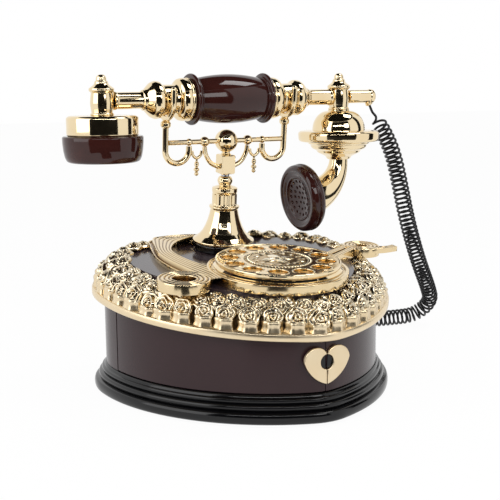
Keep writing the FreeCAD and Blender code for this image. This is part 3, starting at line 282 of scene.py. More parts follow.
def arc(centre, radius, start, stop, count):
    """Points on a circle between two angles, without the last."""
    turn = np.linspace(start, stop, count, endpoint=False)
    return np.stack([centre[0] + radius * np.cos(turn), centre[1] + radius * np.sin(turn)], axis=1)


def heart(inset):
    """The heart plan drawn in by an inset: a rounded tip, a wide arc to the side, a lobe and a hollow
    arc into the cleft, mirrored; always the same number of points, anticlockwise from the tip."""
    tip_end = math.atan2(TIP_Y - WIDEST_Y, -FRONT_X)
    lobe_end = math.atan2(CLEFT_RISE, LOBE - HALF_WIDTH)
    half = np.vstack([
        arc((0, TIP_Y), TIP_ROUND - inset, -math.pi / 2, tip_end, TIP_POINTS),
        arc((FRONT_X, WIDEST_Y), FRONT - inset, tip_end, 0, FRONT_POINTS),
        arc((HALF_WIDTH - LOBE, WIDEST_Y), LOBE - inset, 0, lobe_end, LOBE_POINTS),
        arc((0, WIDEST_Y + CLEFT_RISE), CLEFT + inset, lobe_end - math.pi, -math.pi / 2, CLEFT_POINTS),
    ])
    cleft = np.array([[0, WIDEST_Y + CLEFT_RISE - CLEFT - inset]])
    return np.vstack([half, cleft, half[:0:-1] * (-1, 1)])


def around_heart(profile):
    """A moulding: each (inset, height) of a profile gives one ring of the grid."""
    rings = []
    for inset, height in profile:
        plan = heart(inset)
        rings.append(np.column_stack([plan, np.full(len(plan), height)]))
    return np.array(rings)


def bead(inset, low, high, bulge, count=8):
    """A half-round moulding that stands out from an inset by a bulge between two heights."""
    turn = np.linspace(0, np.pi, count)
    return [(inset - bulge * math.sin(t), low + (high - low) * (1 - math.cos(t)) / 2) for t in turn]


plinth_profile = [(6, 2), (2, 2), *bead(1.6, 2.4, 10.2, 1.6, 12), (4.2, 10.6), *bead(5.0, 11, 15.4, 1.4),
                  (6.6, 15.7), *bead(7.2, 16, 19.4, 1.0), (8.2, 19.8), (8.6, 21.2), (9.6, 22)]
# Moulded ABS: a near-black gloss with long clean highlights, smeared a little over about 40 mm by hands.
black_gloss = make_finish("moulded_abs_black", ["#08080a"], grain=38.5, detail=4, rough=(0.07, 0.17),
                          IOR=1.42)
piece("plinth_moulding", [around_heart(plinth_profile)], black_gloss, "base", ["plinth"],
      fill=True)

# Wall and drawer fronts: curved boards in satin dark brown lacquer. The back half is fixed; the two
# front halves are the drawers' fronts and part at the heart's point.
TILT = math.radians(5.41)
RIM_HEIGHT = 72.5
WALL_OUT, WALL_IN, WALL_EDGE = 10, 15, 0.5
WALL_LOW, WALL_HEAD = 22, 0.05
DRAWER_LOW, DRAWER_HEAD = 22.6, 1.2
SEAM_HALF = 0.3
FRONT_END, BACK_START = 27.6, 29.1
FRONT_COLUMNS, BACK_COLUMNS = 84, 181
SIDES = (("left", -1), ("right", 1))
# Lacquered board: a deep brown, clouded over about 70 mm, with soft highlights that the lacquer's
# orange peel, about 2.4 mm across, breaks up slightly.
brown_satin = make_finish("lacquered_board_brown", ["#291a1c", "#352225"], grain=71.4, detail=5, rough=0.22,
                          bump=(2.38, 2, 0.04, 0.2), IOR=1.45, Specular_IOR_Level=0.36)


def board_section(plan_at, low, head):
    """A curved board: a rectangle with softened edges, its outer and inner faces following the plan
    at the wall's two insets, its top following the sloping rim less a gap."""
    corners = ((WALL_OUT, WALL_EDGE, 0), (WALL_OUT, 0, 1), (WALL_OUT, 0, 2), (WALL_OUT, WALL_EDGE, 3),
               (WALL_IN, -WALL_EDGE, 3), (WALL_IN, 0, 2), (WALL_IN, 0, 1), (WALL_IN, -WALL_EDGE, 0))
    ring = []
    for inset, shift, level in corners:
        plan = plan_at(inset + shift)
        top_line = RIM_HEIGHT + plan[:, 1] * math.tan(TILT) - head
        low_line = np.full(len(plan), low)
        height = (low_line, low_line + WALL_EDGE, top_line - WALL_EDGE, top_line)[level]
        ring.append(np.column_stack([plan, height]))
    return np.array(ring)


def side_at(inset, y):
    """Where the right front arc at an inset crosses a line across the heart."""
    return np.array([[FRONT_X + math.sqrt((FRONT - inset) ** 2 - (y - WIDEST_Y) ** 2), y]])


def even(plan, count):
    """The same line with its points evenly spread."""
    return places_on(plan, np.linspace(0, run_of(plan)[-1], count))


def front_plan(inset):
    """The right half of the front at an inset, from the seam at the tip to just past the pivot."""
    plan = heart(inset)
    front = plan[(plan[:, 0] > SEAM_HALF) & (plan[:, 1] < FRONT_END)]
    tip = np.array([[SEAM_HALF, TIP_Y - TIP_ROUND + inset]])
    return even(np.vstack([tip, front, side_at(inset, FRONT_END)]), FRONT_COLUMNS)


def back_plan(inset):
    """The rest of the plan at an inset, round the back from side to side."""
    plan = heart(inset)
    edge = side_at(inset, BACK_START)
    return even(np.vstack([edge, plan[plan[:, 1] > BACK_START], edge * (-1, 1)]), BACK_COLUMNS)


piece("back_wall_board", [(board_section(back_plan, WALL_LOW, WALL_HEAD), True, False)], brown_satin,
      "base", ["rear_shell"], fill=True)
right_board = board_section(front_plan, DRAWER_LOW, DRAWER_HEAD)
for side_name, flip in SIDES:
    piece(f"drawer_board_{side_name}", [(right_board * (flip, 1, 1), True, False)], brown_satin,
          "drawer_" + side_name, ["drawer_front_" + side_name], fill=True)

# Drawer pulls: two halves of a heart in brushed gilt plate, screwed to the drawer fronts at the seam,
# with half of a round eye in each over a black plug.
PULL_LOW, PULL_TALL, PULL_HALF, PULL_SIDE, PULL_CLEFT = 28.6, 28, 19.2, 18.6, 23.2
EYE_RADIUS, EYE_RISE = 5.5, 16.8
PULL_THICK, PULL_SOFT = 2.6, 0.5
PLUG_GAP, PLUG_THICK, PLUG_TURN = 0.5, 0.8, 1.5
WALL_TIP = TIP_Y - TIP_ROUND + WALL_OUT
# Brushed gilt plate: a pale gold with wide soft highlights, mottled over about 17 mm, under scratches
# that are drawn 1.4 mm wide because real ones would not show.
gilt_satin = make_finish("brushed_gilt_plate", ["#e2caa2", "#f2e2c2"], grain=16.7, detail=4,
                         rough=(0.22, 0.38), bump=(1.43, 3, 0.06, 0.2), Metallic=1.0)


def swing(start, stop, radius, count):
    """Points on the arc of a radius that turns left from one point to another, or right where the radius
    is negative, without the last."""
    start, stop = np.array(start, float), np.array(stop, float)
    chord = stop - start
    length = np.linalg.norm(chord)
    left = np.array([-chord[1], chord[0]]) / length
    centre = (start + stop) / 2 + left * math.sqrt(radius ** 2 - length ** 2 / 4) * np.sign(radius)
    first = math.atan2(*(start - centre)[::-1])
    last = math.atan2(*(stop - centre)[::-1])
    if radius > 0 and last < first:
        last += 2 * math.pi
    if radius < 0 and last > first:
        last -= 2 * math.pi
    return arc(centre, abs(radius), first, last, count)


def upright(outline, flip, rise):
    """An outline of (x, z) stood up in the XZ plane, on the left or right side and lifted."""
    return np.column_stack([outline[:, 0] * flip, np.zeros(len(outline)), outline[:, 1] + rise])


eye_half = math.sqrt(EYE_RADIUS ** 2 - SEAM_HALF ** 2)
half_heart = np.vstack([
    swing((SEAM_HALF, 0), (PULL_HALF, PULL_SIDE), PULL_TALL, 20),
    swing((PULL_HALF, PULL_SIDE), (PULL_HALF / 2, PULL_TALL), PULL_HALF / 2, 12),
    swing((PULL_HALF / 2, PULL_TALL), (SEAM_HALF, PULL_CLEFT), PULL_HALF / 2, 12),
    swing((SEAM_HALF, EYE_RISE + eye_half), (EYE_RADIUS, EYE_RISE), -EYE_RADIUS, 10),
    swing((EYE_RADIUS, EYE_RISE), (SEAM_HALF, EYE_RISE - eye_half), -EYE_RADIUS, 10),
    [(SEAM_HALF, EYE_RISE - eye_half)],
])
half_plug = arc((SEAM_HALF, 0), EYE_RADIUS - PLUG_GAP, -PLUG_TURN, PLUG_TURN, 24)
for side_name, flip in SIDES:
    plate = upright(half_heart, flip, PULL_LOW)
    pull = piece("drawer_pull_plate_" + side_name,
                 [np.array([plate + (0, WALL_TIP - depth, 0) for depth in (0, PULL_THICK)])], gilt_satin,
                 "drawer_" + side_name, ["drawer_pull_" + side_name], fill=True)
    soften = pull.modifiers.new("soft_edges", "BEVEL")
    soften.width = PULL_SOFT * MM
    soften.segments = 2
    soften.limit_method = "ANGLE"
    plug = upright(half_plug, flip, PULL_LOW + EYE_RISE)
    piece("pull_eye_plug_" + side_name,
          [np.array([plug + (0, WALL_TIP - depth, 0) for depth in (0, PLUG_THICK)])], black_gloss,
          "drawer_" + side_name, fill=True)

# Rim board: a flat heart-shaped board edged in satin gilt, laid on the wall at a slope; its middle is
# open for the wiring.
RIM_TOP, RIM_OPEN = 6, 40


def top(points):
    """From the sloping top's own frame to the phone's: turned about X and lifted to the rim. Numbers
    after the first three are kept."""
    points = np.asarray(points, float)
    x, y, height = np.moveaxis(points[..., :3], -1, 0)
    turned = np.stack([x, y * math.cos(TILT) - height * math.sin(TILT),
                       RIM_HEIGHT + y * math.sin(TILT) + height * math.cos(TILT)], axis=-1)
    return np.concatenate([turned, points[..., 3:]], axis=-1)


rim_profile = [(RIM_OPEN, 0), (1.2, 0), (0.4, 0.4), (0, 1.2), (0, RIM_TOP - 1.2), (0.4, RIM_TOP - 0.4),
               (1.2, RIM_TOP), (RIM_OPEN, RIM_TOP)]
piece("rim_board_gilt", [(top(around_heart(rim_profile)), True, True)], gilt_satin, "base",
      ["rim_board"])

# Rose border: a cast and gilt band of roses in three rows, crowded together over a ground painted dark
# as the shade between them, the outer row on short stems.
ROSE_DOME, ROSE_FALL, PETAL_RELIEF, PETAL_WAVE, PETAL_LIP, PETAL_SHADE = 0.78, 0.9, 0.2, 0.1, 1.7, 1.5
# Rings of petals as (inner edge, outer edge, petals, turn of the first petal).
PETAL_RINGS = ((0.0, 0.32, 2, 0.3), (0.32, 0.66, 3, 1.4), (0.66, 1.001, 5, 0.2))
# Rows as (inset, spacing, shift in spacings, height, rose radius, lean outwards, rise towards the back).
ROSE_ROWS = ((7.6, 16.4, 0.5, 15.4, 8.2, 1.1, 2.0), (15.4, 15.0, 0.0, 21.2, 7.7, 0.6, 4.0),
             (23.4, 13.8, 0.5, 22.6, 7.1, 0.15, 6.0))
BACK_FROM, BACK_TO = 0, 60
LEAN_SPREAD, STEP_SPREAD, SIZE_SPREAD, LEVEL_SPREAD = (-0.2, 0.2), (-1.5, 1.5), (0.9, 1.1), (-1.5, 1.1)
ROSE_SINK = 0.4
STEM_LEAN, STEM_SIDES, STEM_WIDER, STEM_TUCK = 0.8, 24, 0.3, 2
STEM_FOLDS, FOLD_DEPTH = 6, 0.12
STEM_GIRTH = np.array([0.78, 0.74, 0.7, 0.68, 0.7, 0.72, 0.6])


def rose(rows=16, columns=36):
    """One cast rose on a unit disc: a dome cut by three rings of petals. Each ring rises slowly out to a
    rolled lip and falls back behind it, its edge waves in and out once for every petal, and where two
    rings meet the rose dips and is painted in shade, less so up each ring towards its lip."""
    reach = np.linspace(0, 1, rows)[:, None]
    turn = np.linspace(0, 2 * np.pi, columns, endpoint=False)[None]
    height = ROSE_DOME * np.sqrt(np.clip(1 - ROSE_FALL * reach ** 2, 0, 1)) + 0 * turn
    hollow_shade = np.zeros_like(height)
    for inner, outer, petals, phase in PETAL_RINGS:
        wave = 1 + PETAL_WAVE * np.cos(petals * turn + phase)
        start, stop = inner * wave, outer * (wave if outer < 1 else 1)
        within = (reach >= start) & (reach < stop)
        swell = np.sin(np.pi * np.clip((reach - start) / (stop - start), 0, 1) ** PETAL_LIP)
        height = height + np.where(within, PETAL_RELIEF * (swell - 0.5), 0)
        hollow_shade = np.where(within, np.clip(1 - PETAL_SHADE * swell, 0, 1), hollow_shade)
    petals, phase = PETAL_RINGS[-1][2:]
    spread = reach * (1 + PETAL_WAVE / 2 * np.cos(petals * turn + phase) * reach)
    return np.stack([spread * np.cos(turn), spread * np.sin(turn), height], axis=-1), hollow_shade[..., None]


def lay_out(inset, spacing, shift):
    """Evenly spaced places along the plan at an inset, with the outward direction at each."""
    plan = heart(inset)
    plan = np.vstack([plan, plan[:1]])
    length = run_of(plan)[-1]
    count = int(length // spacing)
    here = (np.arange(count) + shift) * length / count
    spots = places_on(plan, here)
    ahead = places_on(plan, (here + 1) % length) - spots
    along = ahead / np.linalg.norm(ahead, axis=1, keepdims=True)
    return spots, np.stack([along[:, 1], -along[:, 0]], axis=1)


rng = np.random.default_rng(4)
flower, flower_hollow_shade = rose()
folds = 1 + FOLD_DEPTH * np.cos(STEM_FOLDS * np.linspace(0, 2 * np.pi, STEM_SIDES, endpoint=False))
roses, stems = [], []
for inset, spacing, shift, height, radius, lean, rise in ROSE_ROWS:
    for spot, outward in zip(*lay_out(inset, spacing, shift)):
        tip = lean + rng.uniform(*LEAN_SPREAD)
        facing = np.array([outward[0] * math.sin(tip), outward[1] * math.sin(tip), math.cos(tip)])
        across = np.array([-outward[1], outward[0], 0.0])
        spot = spot + across[:2] * rng.uniform(*STEP_SPREAD)
        spin = rng.uniform(0, 2 * math.pi)
        one = across * math.cos(spin) + np.cross(facing, across) * math.sin(spin)
        two = np.cross(facing, one)
        size = radius * rng.uniform(*SIZE_SPREAD)
        level = height + rng.uniform(*LEVEL_SPREAD) + rise * np.interp(spot[1], (BACK_FROM, BACK_TO), (0, 1))
        centre = np.array([*spot, level]) - facing * size * ROSE_SINK
        head = centre + size * (flower @ np.array([one, two, facing]))
        roses.append(top(np.concatenate([head, flower_hollow_shade], axis=-1)))
        if lean > STEM_LEAN:
            rows = len(STEM_GIRTH)
            stem = np.column_stack([np.tile(spot, (rows, 1)), np.linspace(RIM_TOP, level - STEM_TUCK, rows)])
            bulge = (tube(stem, STEM_GIRTH * size, STEM_SIDES) - stem[:, None]) * folds[:, None]
            stems.append(top(stem[:, None] + bulge + STEM_WIDER * (bulge @ across)[..., None] * across))
# Cast and gilt roses: bright gold on the petals, mottled over about 8 mm, going down to a brown painted
# shade between them.
gilt_carved = make_finish("cast_gilt_roses", ["#e0cca4", "#faf1db"], grain=7.7, detail=4,
                          rough=(0.12, 0.26), hollow_shade="#86693d", Metallic=1.0)
# The ground behind them: a gold painted dark as the shade between the roses, in patches about 4.5 mm wide.
painted_shade_ground = make_finish("painted_shade_gilt_ground", ["#1f160d", "#5d4522"], grain=4.55, detail=4, rough=0.4,
                          Metallic=0.7)
ground_profile = [(27.9, 6.2), (9.6, 6.2), (9, 7), (9.4, 12), (12, 16.5), (16, 19), (26, 20), (27.9, 20)]
piece("rose_ground", [(top(around_heart(ground_profile)), True, True)], painted_shade_ground, "base",
      ["rose_border"])
piece("rose_heads", roses, gilt_carved, "base", crease=75)
piece("rose_stems", stems, gilt_satin, "base", crease=75, fill=True)


# Top board: a dark heart-shaped board in gloss lacquer, set inside the roses and screwed down from
# below. The solid itself is shown.
def finish_node(name, material):
    """Gives a solid that stays in view its material."""
    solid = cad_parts[name]
    solid.data.materials.clear()
    solid.data.materials.append(material)


# Gloss lacquer: a dark mirror with a violet cast, whose sharpness drifts over about 56 mm.
board_gloss = make_finish("lacquered_board_dark", ["#3a2f33"], grain=55.6, detail=4, rough=(0.08, 0.18),
                          IOR=1.5)
finish_node("top_board", board_gloss)

# Scroll plate: a die-cast gilt ornament screwed to the board: a ring round the dial, a hook behind the
# stand, a rolled loop at each side and a small tail, its bands scored with fine parallel grooves.
BOARD_TOP, PLATE_TOP = 27, 34.6
DIAL_Y = -29
GROOVE_DEPTH, GROOVE_STEPS = 0.8, 8
TAIL_LOW = 30.4
EYE_SHADE = 0.5


def soft(profile, cut):
    """A profile with its corners rounded: each becomes a short quadratic curve that starts and ends a
    cut away from it, or nearer where a side is short."""
    profile = np.array(profile, float)
    out = [profile[:1]]
    share = np.linspace(0, 1, 4)[:, None]
    for before, corner, after in zip(profile, profile[1:], profile[2:]):
        ends = []
        for side in (before - corner, after - corner):
            length = np.linalg.norm(side)
            ends.append(corner + side / max(length, 1e-9) * min(cut, 0.45 * length))
        out.append((1 - share) ** 2 * ends[0] + 2 * share * (1 - share) * corner + share ** 2 * ends[1])
    out.append(profile[-1:])
    return np.vstack(out)


def spun(profile, steps=96, along_x=False):
    """A turned piece: a profile of (radius, height) swept round Z, or round X with height as x."""
    profile = np.asarray(profile, float)
    turn = np.linspace(0, 2 * np.pi, steps, endpoint=False)
    across = profile[:, :1] * np.cos(turn), profile[:, :1] * np.sin(turn)
    level = np.broadcast_to(profile[:, 1:], across[0].shape)
    return np.stack([level, *across] if along_x else [*across, level], axis=-1)


def through(points, count):
    """A smooth line through points: a cubic between each pair whose slope at a point is half the step
    from the point before it to the point after."""
    points = np.array(points, float)
    slope = np.gradient(points, axis=0)
    place = np.linspace(0, len(points) - 1, count)
    low = np.minimum(place.astype(int), len(points) - 2)
    t = (place - low)[:, None]
    a, b, p, q = points[low], points[low + 1], slope[low], slope[low + 1]
    return ((2 * t ** 3 - 3 * t ** 2 + 1) * a + (t ** 3 - 2 * t ** 2 + t) * p
            + (3 * t ** 2 - 2 * t ** 3) * b + (t ** 3 - t ** 2) * q)


def scored(grooves, stepped=False):
    """The section of a band from edge to edge as (share across, height, painted shade): upright sides, a
    rounded edge, and a row of grooves with ridges between them, each groove painted in shade down to its
    bottom; a stepped far side drops to a low channel behind a lip, the channel painted in full shade and
    the outer wall fading to half shade at its foot."""
    start, edge = 0.04, 0.82 if stepped else 0.96
    across = np.linspace(start, edge, grooves * GROOVE_STEPS + 1)
    groove = (0.5 - 0.5 * np.cos(2 * np.pi * grooves * (across - start) / (edge - start))) ** 3
    near = [(0, BOARD_TOP, 0), (0, PLATE_TOP - 0.9, 0), (0.015, PLATE_TOP - 0.25, 0)]
    far = [(0.985, PLATE_TOP - 0.25, 0), (1, PLATE_TOP - 0.9, 0), (1, BOARD_TOP, 0)]
    if stepped:
        far = [(0.835, PLATE_TOP - 0.4, 0), (0.84, PLATE_TOP - 4, 1), (0.86, PLATE_TOP - 4.4, 1),
               (0.93, PLATE_TOP - 4.4, 1), (0.95, PLATE_TOP - 3.4, 0), (0.99, PLATE_TOP - 3.4, 0),
               (1, PLATE_TOP - 3.8, 0), (1, BOARD_TOP, 0.5)]
    return np.array([*near, *zip(across, PLATE_TOP - GROOVE_DEPTH * groove, groove), *far])


def band(outer, inner, grooves, count, low=BOARD_TOP, stepped=False):
    """A scored band between two edge lines, down to a given level."""
    outer, inner = through(outer, count), through(inner, count)
    section = scored(grooves, stepped)
    flat = inner[:, None] + (outer - inner)[:, None] * section[None, :, :1]
    level = np.column_stack([np.maximum(section[:, 1], low), section[:, 2]])
    return top(np.concatenate([flat, np.broadcast_to(level, (*flat.shape[:2], 2))], axis=2)), False, False


def loop(centre, radius, eye, grooves):
    """A rolled loop: concentric grooves between the rim and the eye, painted in shade down in the grooves,
    and the eye's wall painted in half shade.
    """
    section = scored(grooves)
    section[-2:, 2] = EYE_SHADE
    ring = spun(np.column_stack([radius + (eye - radius) * section[:, 0], section[:, 1]]), 72) + (*centre, 0)
    hollow_shade = np.broadcast_to(section[:, None, 2:], (*ring.shape[:2], 1))
    return top(np.concatenate([ring, hollow_shade], axis=2))


hook_outer = [(-10, 92), (-22, 96.6), (-33, 98.6), (-45, 98.4), (-55, 96), (-60, 82), (-67, 60), (-71.5, 40),
              (-72.5, 20), (-71.5, 0), (-69.5, -20), (-66, -33), (-65, -41)]
hook_inner = [(-10, 89), (-18, 87), (-27, 83), (-33, 79.5), (-39, 75), (-46, 66), (-53, 53), (-56, 40),
              (-55.5, 22), (-52.5, 5), (-48, -12), (-47.5, -26), (-49.5, -41)]
arm_front = [(47, -24), (62, -18), (76, -9.5), (92, 1)]
arm_slot = [(47, -18), (61, -12), (76, -3), (91, 7)]
arm_behind = [(47, -15), (60, -9), (76, 0), (91, 9)]
arm_back = [(47, -8.5), (60, -3), (76, 6), (90, 14)]
tail_lower = [(96, -4.5), (106, -8), (118, -9), (129.5, -7.4)]
tail_upper = [(113, 3), (117, -0.6), (122, -2), (129.5, 0)]
ring_profile = soft([(46, 27.1), (55, 27.1), (55, 34.6), (52.2, 34.6), (51.8, 33.7), (50.6, 33.7),
                     (50.2, 34.4), (46, 34.4), (46, 27.1)], cut=0.5)
dial_centre = (0, DIAL_Y, 0)
scrolls = [
    top(spun(ring_profile, steps=144) + dial_centre),
    band(hook_outer, hook_inner, grooves=5, count=140, stepped=True),
    loop((-81, -32), radius=20, eye=9, grooves=3),
    band(arm_front, arm_slot, grooves=2, count=40),
    band(arm_behind, arm_back, grooves=2, count=40),
    loop((103, 8), radius=15.5, eye=5, grooves=3),
    band(tail_lower, tail_upper, grooves=2, count=40, low=TAIL_LOW),
]
# Die-cast gilt: a warm gold with clear but not sharp reflections, mottled over 12.5 mm, its grooves and
# channel given brown painted shade.
gilt_scored = make_finish("cast_gilt_scrolls", ["#dfc697", "#eedab4"], grain=12.5, detail=4,
                          rough=(0.1, 0.2), hollow_shade="#7a5a2c", Metallic=1.0)
piece("scroll_plate_gilt", scrolls, gilt_scored, "base", ["scroll_plate"], crease=50, fill=True)

# Dial: a gilt plastic tub with a raised rim, a punched finger ring with twelve rolled holes, an embossed
# medallion with a beaded edge, and twelve amber-gilt keys that sink in their wells.
DIAL_TOP = 38
KEY_RING, KEY_COUNT = 37.5, 12
MEDALLION_RADIUS, MEDALLION_TOP = 26.5, 40.6
# The medallion's relief: heights in millimetres, places and widths as shares of its radius.
PETALS, PETAL_FROM, PETAL_REACH, BLOSSOM_HIGH = 4, 0.22, 0.3, 1.3
VEIN_FROM, VEIN_DEEP, VEIN_SPREAD = 0.12, 0.3, 0.16
BOSS_REACH, BOSS_HIGH = 0.13, 0.9
LEAVES, LEAF_RING, LEAF_HALF, LEAF_HIGH, LEAF_SWAY, LEAF_SLANT = 16, 0.68, 0.11, 0.9, 0.07, 9
BEADS, BEAD_RING, BEAD_HALF, BEAD_HIGH = 60, 0.92, 0.055, 0.9
SHADE_BELOW = 0.5
# Plated gilt: a pale polished gold that mirrors the studio, with a faint haze in patches of 25 mm.
gilt = make_finish("plated_gilt", ["#e8d0a4", "#f3e2bf"], grain=25, detail=3, rough=(0.04, 0.1),
                   Metallic=1.0)
finish_node("dial_body", gilt)
finish_node("finger_ring", gilt_scored)
key_turns = np.arange(KEY_COUNT) * 2 * np.pi / KEY_COUNT
key_spots = [(KEY_RING * math.cos(t), DIAL_Y + KEY_RING * math.sin(t), 0) for t in key_turns]
rolled = soft([(7.5, 39.2), (7.5, 40.5), (7.8, 40.85), (8.3, 40.8), (8.8, 40.45), (8.9, 39.2)], cut=0.3)
lip = soft([(46.8, 39.5), (46.8, 40.6), (47.3, 41.1), (48.2, 41.1), (48.8, 40.5), (48.8, 38.4), (48, 38)],
           cut=0.4)
rims = [(top(spun(rolled, steps=40) + spot), True, True) for spot in key_spots]
rims.append((top(spun(lip, steps=144) + dial_centre), True, True))
piece("finger_hole_rims", rims, gilt, "base")

# Amber gilt: a deep orange gold, blotched over about 5.5 mm as tinted plating is.
amber = make_finish("amber_gilt_key", ["#b9842f", "#e6bd6c"], grain=5.56, detail=3, rough=0.14,
                    Metallic=1.0)
key_profile = soft([(0, 30.9), (6.7, 30.9), (6.7, 38.9), (5.9, 39.4), (4.7, 39.2), (3, 38.9), (0, 38.7)],
                   cut=0.4)
for number, spot in enumerate(key_spots, 1):
    piece(f"dial_key_{number:02d}", [top(spun(key_profile, steps=36) + spot)], amber,
          f"key_{number:02d}_body", [f"key_{number:02d}"])


def embossed(radius, level):
    """The medallion's face: a disc whose height carries a four-petalled flower with veins and a boss, a
    wreath of sixteen leaves and an edge of sixty beads. The veins are narrow grooves. Each other form is
    the upper half of a parabola or an ellipse across its width, leaves and beads times a wave round the
    disc. The ground between them is low and painted in shade, the more the lower the face lies."""
    reach = np.linspace(0, 1, 72)[:, None]
    turn = np.linspace(0, 2 * np.pi, 240, endpoint=False)[None]
    petal = np.clip(np.cos(PETALS * turn) * 0.5 + 0.5, 0, 1) ** 0.6
    edge = PETAL_FROM + PETAL_REACH * petal
    blossom = BLOSSOM_HIGH * np.clip(1 - (reach / edge) ** 2, 0, 1) ** 0.5
    vein = -VEIN_DEEP * np.exp(-((np.abs(np.sin(PETALS * turn)) / VEIN_SPREAD) ** 2))
    vein = vein * (reach < edge) * (reach > VEIN_FROM)
    boss = BOSS_HIGH * np.clip(1 - (reach / BOSS_REACH) ** 2, 0, 1) ** 0.5
    sway = LEAF_SWAY * np.sin(LEAVES * turn)
    leaf = LEAF_HIGH * np.clip(1 - ((reach - LEAF_RING - sway) / LEAF_HALF) ** 2, 0, 1)
    leaf = leaf * (0.55 + 0.45 * np.cos(LEAVES * turn + LEAF_SLANT * reach))
    beads = BEAD_HIGH * np.clip(1 - ((reach - BEAD_RING) / BEAD_HALF) ** 2, 0, 1) ** 0.5
    beads = beads * np.abs(np.cos(BEADS / 2 * turn)) ** 0.5
    height = level + blossom + vein + boss + leaf + beads
    hollow_shade = np.clip(1 - (height - level) / SHADE_BELOW, 0, 1)
    face = np.stack([radius * reach * np.cos(turn), radius * reach * np.sin(turn), height, hollow_shade], axis=-1)
    low = np.full(turn.shape, DIAL_TOP)
    skirt = np.stack([radius * np.cos(turn), radius * np.sin(turn), low, 0 * low], axis=-1)
    return np.concatenate([face, skirt], axis=0)


# Pale gilt relief: a silvery gold, duller in patches of about 6 mm, with tan painted shade in the hollows
# that makes the relief read.
pale_gilt = make_finish("pale_gilt_relief", ["#f3e8cd"], grain=6.25, detail=4, rough=(0.14, 0.3),
                        hollow_shade="#b99c66", Metallic=1.0)
medallion = top(embossed(MEDALLION_RADIUS, MEDALLION_TOP) + (*dial_centre, 0))
piece("medallion_relief", [medallion], pale_gilt, "base", ["medallion"], crease=60,
      fill=True)

# Bell stand: a spun bell in polished gilt with a fluted collar, its foot let into the scroll plate; the
# cradle's steel plunger slides in it.
STAND_Y = 64
FLUTES, FLUTE_LOW, FLUTE_HIGH, FLUTE_FADE, FLUTE_SHARE = 12, 65.8, 75.6, 1.0, 0.085
STAND_STEPS = 192


def at_stand(points):
    """From the stand's own frame, upright on the sloping top, to the phone's."""
    return top(np.asarray(points, float) + (0, STAND_Y, 0))


stand_profile = soft([
    (3.5, 27), (22, 27), (22, 34), (26, 34.2), (26, 36.2), (24.6, 37), (21, 39.6), (18, 43.2), (15.7, 47.6),
    (13.8, 52.6), (12.4, 57.6), (11.6, 62.4), (12.7, 63.2), (12.7, 65.0), (10.4, 65.2), (10.4, 66.4),
    (10.4, 67.4), (10.4, 74), (10.4, 75), (10.4, 76), (10.7, 77), (10.7, 80.2), (7, 81.4), (4.8, 82.4),
    (6, 84), (6.5, 86), (6, 88), (4.7, 89.8), (3.5, 89.8)], cut=0.6)
stand = spun(stand_profile, STAND_STEPS)
turn = np.linspace(0, 2 * np.pi, STAND_STEPS, endpoint=False)[None]
level = stand[..., 2]
fluted = np.clip(np.minimum(level - FLUTE_LOW, FLUTE_HIGH - level) / FLUTE_FADE, 0, 1)
shrink = 1 - FLUTE_SHARE * fluted * (0.5 - 0.5 * np.cos(FLUTES * turn)) ** 1.5
stand[..., :2] *= shrink[..., None]
piece("stand_bell", [at_stand(stand)], gilt, "base", ["bell_stand"])
foot_ring = soft([(21.5, 27.05), (23.6, 27.05), (24.2, 27.8), (24.2, 32.6), (23.4, 34), (21.5, 34)], cut=0.6)
piece("stand_foot_ring", [(at_stand(spun(foot_ring, steps=128)), True, True)], black_gloss,
      "base")

# Cradle: a square block on the plunger, a cross bar with turned beads and a ball, two bent wire forks
# that take the handset's necks, curved stays and small garlands with drops.
BLOCK_HALF, BLOCK_LOW, BLOCK_HIGH, BLOCK_EDGE = 6.25, 92, 108, 0.8
BAR_RISE, BAR_HALF, BAR_WIRE = 119.4, 52.3, 2.1
BALL_RADIUS, BEAD_SPOTS = 9.6, ((20, 4.2), (34, 3))
FORK_X, FORK_WIRE, FORK_CUP, FORK_TIP, NECK_RISE = 55, 2.5, 14.8, 163, 154
FORK_BEND, FORK_BEND_X, FORK_BEND_RISE = 10.5, 44.5, 113
STAY_WIRE, GARLAND_WIRE, DROP_X = 2.0, 1.3, 26.8
# Turned steel: a grey metal with a broken sheen from tool marks about 3 mm apart.
steel = make_finish("turned_steel", ["#b9babd"], grain=3.33, detail=2, rough=(0.18, 0.34), Metallic=1.0)
for name in ("plunger", "hinge_pin_left", "hinge_pin_right"):
    finish_node(name, steel)


def square_section(half, low, high, edge):
    """An upright square bar with chamfered edges, closed at both ends."""
    rings = []
    for level, pull in ((low, half), (low, edge), (low + edge, 0),
                        (high - edge, 0), (high, edge), (high, half)):
        h = half - pull
        c = min(edge, h)
        ring = [(h - c, -h), (h, -h + c), (h, h - c), (h - c, h),
                (-h + c, h), (-h, h - c), (-h, -h + c), (-h + c, -h)]
        rings.append([(x, y, level) for x, y in ring])
    return np.array(rings)


neck_profile = soft([(0, 107.5), (5, 107.8), (3.4, 109.4), (3.4, 111), (4.4, 112.2), (0, 112.4)], cut=0.4)
block = square_section(BLOCK_HALF, BLOCK_LOW, BLOCK_HIGH, BLOCK_EDGE)
piece("cradle_block_gilt", [at_stand(block), at_stand(spun(neck_profile, steps=48))], gilt, "cradle",
      ["cradle_block"], crease=30)


def ball_on_bar(x, radius, count=14):
    """A bead on the bar as (radius, x) points of half a circle."""
    start = math.asin(BAR_WIRE / radius)
    turn = np.linspace(start, math.pi - start, count)
    return [(radius * math.sin(t), x - radius * math.cos(t)) for t in turn]


bar_profile = [(0, -BAR_HALF), (BAR_WIRE, -BAR_HALF)]
for x, radius in BEAD_SPOTS[::-1]:
    bar_profile += ball_on_bar(-x, radius)
bar_profile += ball_on_bar(0, BALL_RADIUS, 24)
for x, radius in BEAD_SPOTS:
    bar_profile += ball_on_bar(x, radius)
bar_profile += [(BAR_WIRE, BAR_HALF), (0, BAR_HALF)]
bar = spun(bar_profile, steps=48, along_x=True) + (0, 0, BAR_RISE)
piece("cradle_cross_bar", [at_stand(bar)], gilt, "cradle", ["cradle_bar"])


